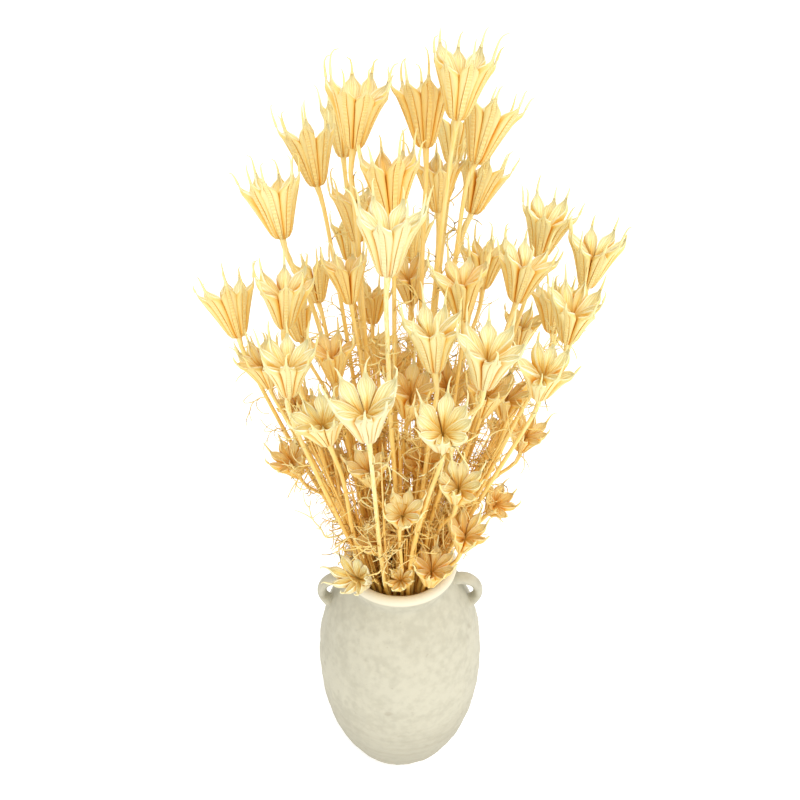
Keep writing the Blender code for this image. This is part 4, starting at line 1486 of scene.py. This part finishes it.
def pod_axis(i):
    """Where a pod points: more upright than its stem's end, and back if it is high up."""
    axis = bunch.axis[i] * UPRIGHT
    axis[1] += BACKWARD * np.interp(bunch.base[i, 2], HIGH_PODS, (0, 1))
    return axis / np.linalg.norm(axis)


def pod_matrix(i, angle):
    """The turn that brings a follicle's keel to an angle round the pod's axis."""
    axis = pod_axis(i)
    side = np.cross(axis, ACROSS_EVERY_POD)
    side /= np.linalg.norm(side)
    front = np.cross(axis, side)
    out = side * cos(angle) + front * sin(angle)
    return Matrix(np.column_stack((out, np.cross(axis, out), axis)))


print("the first pod points to", pod_axis(0).round(2))

# %% An awn from each tip
EDGE = 0.5 * MM
AWN_LENGTH = (7, 15)
AWN_SHARES = np.array((0, 0.2, 0.42, 0.62, 0.82, 1.0))
AWN_THICKNESS = np.array((0.95, 0.84, 0.68, 0.53, 0.4, 0.24)) * MM
AWN_ROOT = 0.6
AWN_CUTS = (1, 0.8, 0.6, 0.4, 0.2)


def awn_points(kind, draw):
    """An awn in a follicle's own space: on from the tip, curled, often hooked."""
    before, tip = follicle_tips[kind]
    way = (tip - before) / np.linalg.norm(tip - before)
    curl = np.array((draw.uniform(-0.15, 0.12), draw.uniform(-0.16, 0.16), 0))
    hook = np.array((draw.uniform(-0.25, 0.25), draw.uniform(-0.25, 0.25), -0.12))
    s = AWN_SHARES[:, None]
    start = before + (tip - before) * AWN_ROOT
    return start, (way * s + curl * s ** 2 + hook * s ** 6) * draw.uniform(*AWN_LENGTH)


def plan_awn(plan, foot, matrix, size, kind, tone, draw):
    start, bent = awn_points(kind, draw)
    low, high = np.array(cad_low) + EDGE, np.array(cad_high) - EDGE
    for cut in AWN_CUTS:
        local = (start + bent * cut) * size * MM
        places = foot + local @ np.array(matrix).T
        if (places > low).all() and (places < high).all():
            break
    plan.add_line(np.clip(places, low, high), AWN, AWN_THICKNESS, [tone] * len(places))


print("awns are", AWN_LENGTH, "mm long on a pod of size 1")

# %% A pod's follicles
TILT = radians(4)
TURN_CHANCE = 0.08
TONE_CHANCE = (-0.1, 0.14)
STRETCH = (0.97, 1.11)
POD_MIDDLE = 0.02
POD_SHADE = 0.8
LEFT_POD, FOLDED_POD = 53, 54
LEFTWARD = -0.35
LEFT_STRETCH = 1.25
LEFT_TONE = -1.0
FOLDED_LIFT = (2 * MM, 3 * MM, 4 * MM)
FOLDED_GROWTH = 0.82
TOP_STRETCH = 0.86


def lobe_style(i, matrix, lobes, draw):
    """A follicle's kind and stretch, with the two pods in the vase's mouth as they lie."""
    kind = draw.integers(KINDS)
    stretch = draw.uniform(*STRETCH)
    leftward = i == LEFT_POD and matrix[0][0] < LEFTWARD
    if i == FOLDED_POD or leftward:
        kind = kind % CLOSED_KINDS
    if leftward:
        stretch *= LEFT_STRETCH
    if i == np.argmax(bunch.base[:, 2]):
        stretch *= TOP_STRETCH
    return kind + (KINDS if lobes == 8 else 0), stretch


def pod_tone(i):
    """Painted amber shade in the heart, ashen in front, which is partly painted light, and palest
    at the left of the mouth.
    """
    middle = bunch.base[i] + pod_axis(i) * POD_MIDDLE
    if i == LEFT_POD:
        return LEFT_TONE
    return POD_SHADE * in_shade(middle) - POD_SHADE * in_front(middle)


def plan_pod(plan, i, draw):
    lobes = next(n for size, n in LOBES_BY_SIZE if bunch.size[i] >= size)
    foot, growth = bunch.base[i], bunch.size[i]
    if i == FOLDED_POD:
        foot, growth = foot + FOLDED_LIFT, growth * FOLDED_GROWTH
    turn = draw.uniform(0, tau)
    for k in range(lobes):
        angle = turn + tau * (k + draw.uniform(-TURN_CHANCE, TURN_CHANCE)) / lobes
        tilt = Matrix.Rotation(draw.uniform(-TILT, TILT), 3, "Y")
        matrix = pod_matrix(i, angle) @ tilt
        kind, stretch = lobe_style(i, matrix, lobes, draw)
        size = growth * np.array((1, 1, stretch))
        tone = pod_tone(i) + draw.uniform(*TONE_CHANCE)
        plan.add(foot, part=FOLLICLE, turned=matrix.to_euler(), grown=size, kind=kind, tone=tone)
        plan_awn(plan, foot, matrix, size, kind, tone * 0.5, draw)


print("tone of the first pod:", pod_tone(0))

# %% [markdown]
# ## Grow the stalks
#
# A stem and its side branches are one plan, and one plan becomes one stalk. The tree
# runs on the plan as a modifier, its result is taken as a plain mesh, and the plan is
# thrown away. Each stalk then takes the place of the plain stalk of the same number.

# %% Grow the stalks
STALK_SETTINGS = {
    "Pod material": pod_straw, "Stem material": stem_straw, "Thread material": thread_straw,
    "Stem step": STEM_STEP, "Awn step": AWN_STEP, "Leaf step": LEAF_STEP,
}


def grown_mesh(plan_mesh, seed):
    """The plan's mesh turned by the stalk tree into a plain mesh, kept in the box."""
    helper = placed("plan", plan_mesh, workshop)
    grow = helper.modifiers.new("grow", "NODES")
    grow.node_group = stalk_tree
    ids = socket_ids(stalk_tree)
    for name, value in {**STALK_SETTINGS, "Seed": seed}.items():
        grow[ids[name]] = value
    graph = bpy.context.evaluated_depsgraph_get()
    mesh = bpy.data.meshes.new_from_object(helper.evaluated_get(graph), depsgraph=graph)
    bpy.data.objects.remove(helper)
    places = np.empty(len(mesh.vertices) * 3)
    mesh.vertices.foreach_get("co", places)
    places = np.clip(places.reshape(-1, 3), cad_low, cad_high)
    mesh.vertices.foreach_set("co", places.ravel())
    return mesh


def grow_stalk(number, members):
    draw = np.random.default_rng(SEED + 100 + number)
    plan = Plan()
    for i in members:
        plan_stem(plan, i)
        plan_pod(plan, i, draw)
    plan_shoots(plan, stem_line(members[0]), draw)
    if SPRIG_STEM in members:
        plan_loose_sprig(plan, draw)
    mesh = grown_mesh(plan.mesh(f"plan_{number:02d}"), number)
    stalk = placed(f"dried_stalk_{number:02d}", mesh)
    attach(stalk, "root")
    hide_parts(f"stalk_{number:02d}")
    return stalk


def grow_all():
    """Each stem with the side branches that leave it, the stem's own pod first."""
    stalks = []
    for i in range(bunch.count):
        if bunch.parent[i] != i:
            continue
        members = [j for j in range(bunch.count) if bunch.parent[j] == i]
        members.sort(key=lambda j: j != i)
        stalks.append(grow_stalk(len(stalks) + 1, members))
    return stalks


stalks = grow_all()
triangles = [sum(len(p.vertices) - 2 for p in stalk.data.polygons) for stalk in stalks]
print("stalks:", len(stalks), "triangles:", sum(triangles), "most in one:", max(triangles))

# %% [markdown]
# ## The vase
#
# The vase is stoneware, beaten by hand: its skin is full of shallow round dents, and
# its lip is a soft uneven roll. A turned profile gives the body. Then every point of
# the skin moves in a little where the nearest dent is, which shades far better than a
# bump in the material would, because the outline changes too.

# %% Turn the vase's body
VASE_SIDES = 288
SIDE_STEPS = 40
LIP_STEPS = 14
LIP_TURN = np.radians((185, -40))
FLOOR_RINGS = (0.02, 0.35, 0.65)
FOOT_RINGS = (0.9, 0.6, 0.3, 0.02)


def lip_arc():
    """The rolled lip, from the inside over the top to the outside."""
    middle = np.array((LIP_RADIUS - LIP_ROLL, HEIGHT - LIP_ROLL))
    angles = np.linspace(*LIP_TURN, LIP_STEPS)
    return middle + LIP_ROLL * np.column_stack((np.cos(angles), np.sin(angles)))


def vase_profile():
    """Radius and height from the inner floor up, over the lip and down to the foot."""
    inner = vase_side(WALL, FLOOR, SIDE_STEPS // 2)
    outer = vase_side(0, 0, SIDE_STEPS)[::-1]
    floor = [(FOOT_RADIUS * share, FLOOR) for share in FLOOR_RINGS]
    under = [(FOOT_RADIUS * share, 0) for share in FOOT_RINGS]
    rows = np.vstack((floor, inner, lip_arc(), outer, under))
    return rows, len(floor) + len(inner)


profile, first_lip_row = vase_profile()
print("rows in the vase's profile:", len(profile))

# %% Dents from a potter's beater
DENT_SIZE = 13.5 * MM
DENT_DEPTH = 0.85 * MM
DENT_STRAY = 0.3
DENT_GROWTH = (0.8, 1.25)
LOWEST_DENT = 6 * MM
ROW_SHARE = 0.78
BOWL_SHARE = 0.62
BATCH = 4000


def dent_middles(draw):
    """Dents in rows round the vase, each a little out of its even place."""
    middles = []
    height = LOWEST_DENT
    side = vase_side(0, 0, SIDE_STEPS)
    while height < NECK_LEVEL:
        radius = np.interp(height, side[:, 1], side[:, 0])
        count = int(tau * radius / DENT_SIZE)
        start = draw.uniform(0, tau)
        for n in range(count):
            angle = start + tau * (n + draw.uniform(-DENT_STRAY, DENT_STRAY)) / count
            up = height + draw.uniform(-DENT_STRAY, DENT_STRAY) * DENT_SIZE
            size = DENT_SIZE * draw.uniform(*DENT_GROWTH)
            middles.append((radius * cos(angle), radius * sin(angle), up, size))
        height += DENT_SIZE * ROW_SHARE
    return np.array(middles)


def dented(points, dents):
    """How far the skin is pressed in at each point, some points at a time."""
    press = np.zeros(len(points))
    reach = BOWL_SHARE * dents[None, :, 3]
    for first in range(0, len(points), BATCH):
        part = points[first:first + BATCH]
        gap = np.linalg.norm(part[:, None] - dents[None, :, :3], axis=2) / reach
        press[first:first + BATCH] = np.clip(1 - gap ** 2, 0, None).max(axis=1)
    return DENT_DEPTH * press


potter = np.random.default_rng(SEED + 2)
dents = dent_middles(potter)
print("dents:", len(dents))

# %% Shape the vase's skin
NECK_FADE = 18 * MM
FOOT_FADE = 8 * MM
LIP_WAVE = 0.45 * MM
LIP_WAVES = (2, 3, 5, 7)
WAVE_DEPTH = 3 * LIP_ROLL


def vase_points():
    """The rings of points of the turned body, pressed and waved by hand."""
    angles = np.arange(VASE_SIDES) * tau / VASE_SIDES
    flat = np.column_stack((np.cos(angles), np.sin(angles)))
    points = np.zeros((len(profile), VASE_SIDES, 3))
    points[..., :2] = profile[:, None, :1] * flat[None]
    points[..., 2] = profile[:, None, 1]
    outer = slice(first_lip_row + LIP_STEPS, -len(FOOT_RINGS))
    skin = points[outer]
    slope = np.gradient(profile[outer], axis=0)
    normal = np.column_stack((-slope[:, 1], slope[:, 0]))
    normal /= np.linalg.norm(normal, axis=1)[:, None]
    press = dented(skin.reshape(-1, 3), dents).reshape(skin.shape[:2])
    fade = np.clip((NECK_LEVEL - skin[..., 2]) / NECK_FADE, 0, 1)
    press = press * (fade * np.clip(skin[..., 2] / FOOT_FADE, 0, 1))
    sign = np.sign(normal[len(normal) // 2, 0])
    skin[..., :2] -= sign * press[..., None] * normal[:, None, :1] * flat[None]
    skin[..., 2] -= sign * press * normal[:, None, 1]
    wave = sum(np.sin(n * angles + potter.uniform(0, tau)) * potter.uniform(0.3, 1) / n
               for n in LIP_WAVES)
    share = np.clip((profile[:, 1] - (HEIGHT - WAVE_DEPTH)) / WAVE_DEPTH, 0, 1)
    points[..., 2] += share[:, None] * wave[None] * LIP_WAVE - share[:, None] * LIP_WAVE
    return points


def vase_body_mesh():
    edit = bmesh.new()
    loft(edit, vase_points())
    return finished_mesh(edit, "vase body", smooth=False)


vase = placed("stoneware_vase", vase_body_mesh())
print("faces of the vase's body:", len(vase.data.polygons))

# %% [markdown]
# ## The ears
#
# Each ear is a broad strap of clay bent into a small loop and pressed on at both ends.
# The same loop as the plain ear's, a little thicker where the fingers pressed it into
# the wall, gives a smooth path for a curve with a round bevel. Drawn out to the front
# and back, the round roll becomes a strap. A Boolean then makes vase and ears one skin.

# %% Roll the ears
EAR_MIDDLE = (54 * MM, 200 * MM)
EAR_REACH = 15.1 * MM
EAR_RISE = 15.1 * MM
EAR_ROLL = 4.1 * MM
EAR_BROAD = 1.6
EAR_TURN = np.radians((132, -70))
EAR_POINTS = 15
EAR_SIDES = 8
EAR_STEPS = 6
EAR_SWELL = 0.75
SWELL_FROM = 0.62


def ear_curve(side):
    """A bevelled curve along the ear's loop, thicker towards its pressed ends."""
    angles = np.linspace(*EAR_TURN, EAR_POINTS)
    curve = bpy.data.curves.new("ear", "CURVE")
    curve.dimensions = "3D"
    curve.bevel_depth = EAR_ROLL
    curve.bevel_resolution = EAR_SIDES
    curve.use_fill_caps = True
    curve.resolution_u = EAR_STEPS
    spline = curve.splines.new("NURBS")
    spline.points.add(EAR_POINTS - 1)
    spline.use_endpoint_u = True
    spline.order_u = 4
    for n, (knot, angle) in enumerate(zip(spline.points, angles)):
        end = abs(n / (EAR_POINTS - 1) - 0.5) * 2
        x = side * (EAR_MIDDLE[0] + EAR_REACH * cos(angle))
        knot.co = (x, 0, EAR_MIDDLE[1] + EAR_RISE * sin(angle), 1)
        knot.radius = 0.97 + EAR_SWELL * max(0, end - SWELL_FROM) ** 1.3 + 0.03 * sin(5 * n)
    return curve


def ear_mesh(side):
    """The curve as a mesh, broadened, with its doubles merged and its skin outwards."""
    ear = placed("ear", ear_curve(side), workshop)
    graph = bpy.context.evaluated_depsgraph_get()
    rolled = bpy.data.meshes.new_from_object(ear.evaluated_get(graph))
    bpy.data.objects.remove(ear)
    edit = bmesh.new()
    edit.from_mesh(rolled)
    bmesh.ops.scale(edit, vec=(1, EAR_BROAD, 1), verts=edit.verts)
    bmesh.ops.remove_doubles(edit, verts=edit.verts, dist=0.001 * MM)
    return finished_mesh(edit, "ear piece", smooth=True)


ears = workshop_collection("ears")
for side in (-1, 1):
    placed("ear_piece", ear_mesh(side), ears)

# %% Join the ears to the vase


def join_ears():
    union = vase.modifiers.new("join", "BOOLEAN")
    union.operation = "UNION"
    union.operand_type = "COLLECTION"
    union.collection = ears
    union.solver = "MANIFOLD"
    graph = bpy.context.evaluated_depsgraph_get()
    mesh = bpy.data.meshes.new_from_object(vase.evaluated_get(graph))
    vase.modifiers.remove(union)
    vase.data = mesh


join_ears()
print("faces of the vase:", len(vase.data.polygons))

# %% [markdown]
# ## Matt cream stoneware
#
# The glaze is matt and thin. It is cloudy, with duller patches, a few soft blotches
# where the clay's iron comes through, and the rings of the potter's wheel near the
# foot. Below the middle it turns darker towards the foot, which is painted shade. The
# lip is coloured a warmer, lighter cream. Fine grain in the bump keeps the surface from
# looking like plastic.

# %% The vase's material
GLAZE = (0.565, 0.535, 0.415)
GLAZE_DULL = (0.49, 0.462, 0.354)
PAINTED_SHADE_LOW = (0.375, 0.352, 0.268)
LIP_GLAZE = (0.8, 0.73, 0.555)
BLOTCH = (0.36, 0.31, 0.22)
LIP_SHARE = 9 * MM / HEIGHT


def make_stoneware():
    material, tree, shader = new_material("cream stoneware", 0.72, GLOSS)
    place = add_node(tree, "ShaderNodeTexCoord").outputs["Object"]
    level = calc(tree, "DIVIDE", parts_of(tree, place)["Z"], HEIGHT, clamp=True)
    clouds = calc(tree, "ADD", times(tree, fine_noise(tree, 150, 6), 0.6),
                  times(tree, fine_noise(tree, 34, 3), 0.4))
    colour = mixed(tree, ramp(tree, clouds, ((0.4, 0), (0.66, 1))), GLAZE, GLAZE_DULL)
    low = ramp(tree, level, ((0.1, 1), (0.55, 0)))
    # Painted shade: the glaze darkens towards the foot.
    colour = tinted(tree, colour, PAINTED_SHADE_LOW, low, 0.8)
    throwing = fine_noise(tree, 60, 3, stretch=(0.25, 0.25, 3))
    rings = times(tree, ramp(tree, throwing, ((0.42, 0), (0.62, 1))), low)
    colour = tinted(tree, colour, BLOTCH, rings, 0.38)
    spots = ramp(tree, fine_noise(tree, 75, 1), ((0.7, 0), (0.78, 1)))
    colour = tinted(tree, colour, BLOTCH, spots, 0.35)
    dots = ramp(tree, fine_noise(tree, 260, 1), ((0.74, 0), (0.8, 1)))
    colour = tinted(tree, colour, BLOTCH, dots, 0.35)
    lip = ramp(tree, level, ((1 - LIP_SHARE, 0), (1 - 0.5 * LIP_SHARE, 1)))
    colour = tinted(tree, colour, LIP_GLAZE, lip)
    join(tree, colour, shader.inputs["Base Color"])
    grain = times(tree, fine_noise(tree, 900, 4), 0.5)
    relief = calc(tree, "ADD", grain, times(tree, rings, 2.2))
    raised(tree, shader, relief, 0.4, 0.5 * MM)
    return material


vase.data.materials.clear()
vase.data.materials.append(make_stoneware())
vase.data.shade_smooth()
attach(vase, "root")
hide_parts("vase")
print("material of the vase:", vase.data.materials[0].name)

# %% [markdown]
# ## Finish
#
# The shelves of kinds have done their work and go.

# %% Clear the workshop and finish
for thing in list(workshop.all_objects):
    bpy.data.objects.remove(thing)
for shelf in list(workshop.children):
    bpy.data.collections.remove(shelf)
bpy.data.collections.remove(workshop)
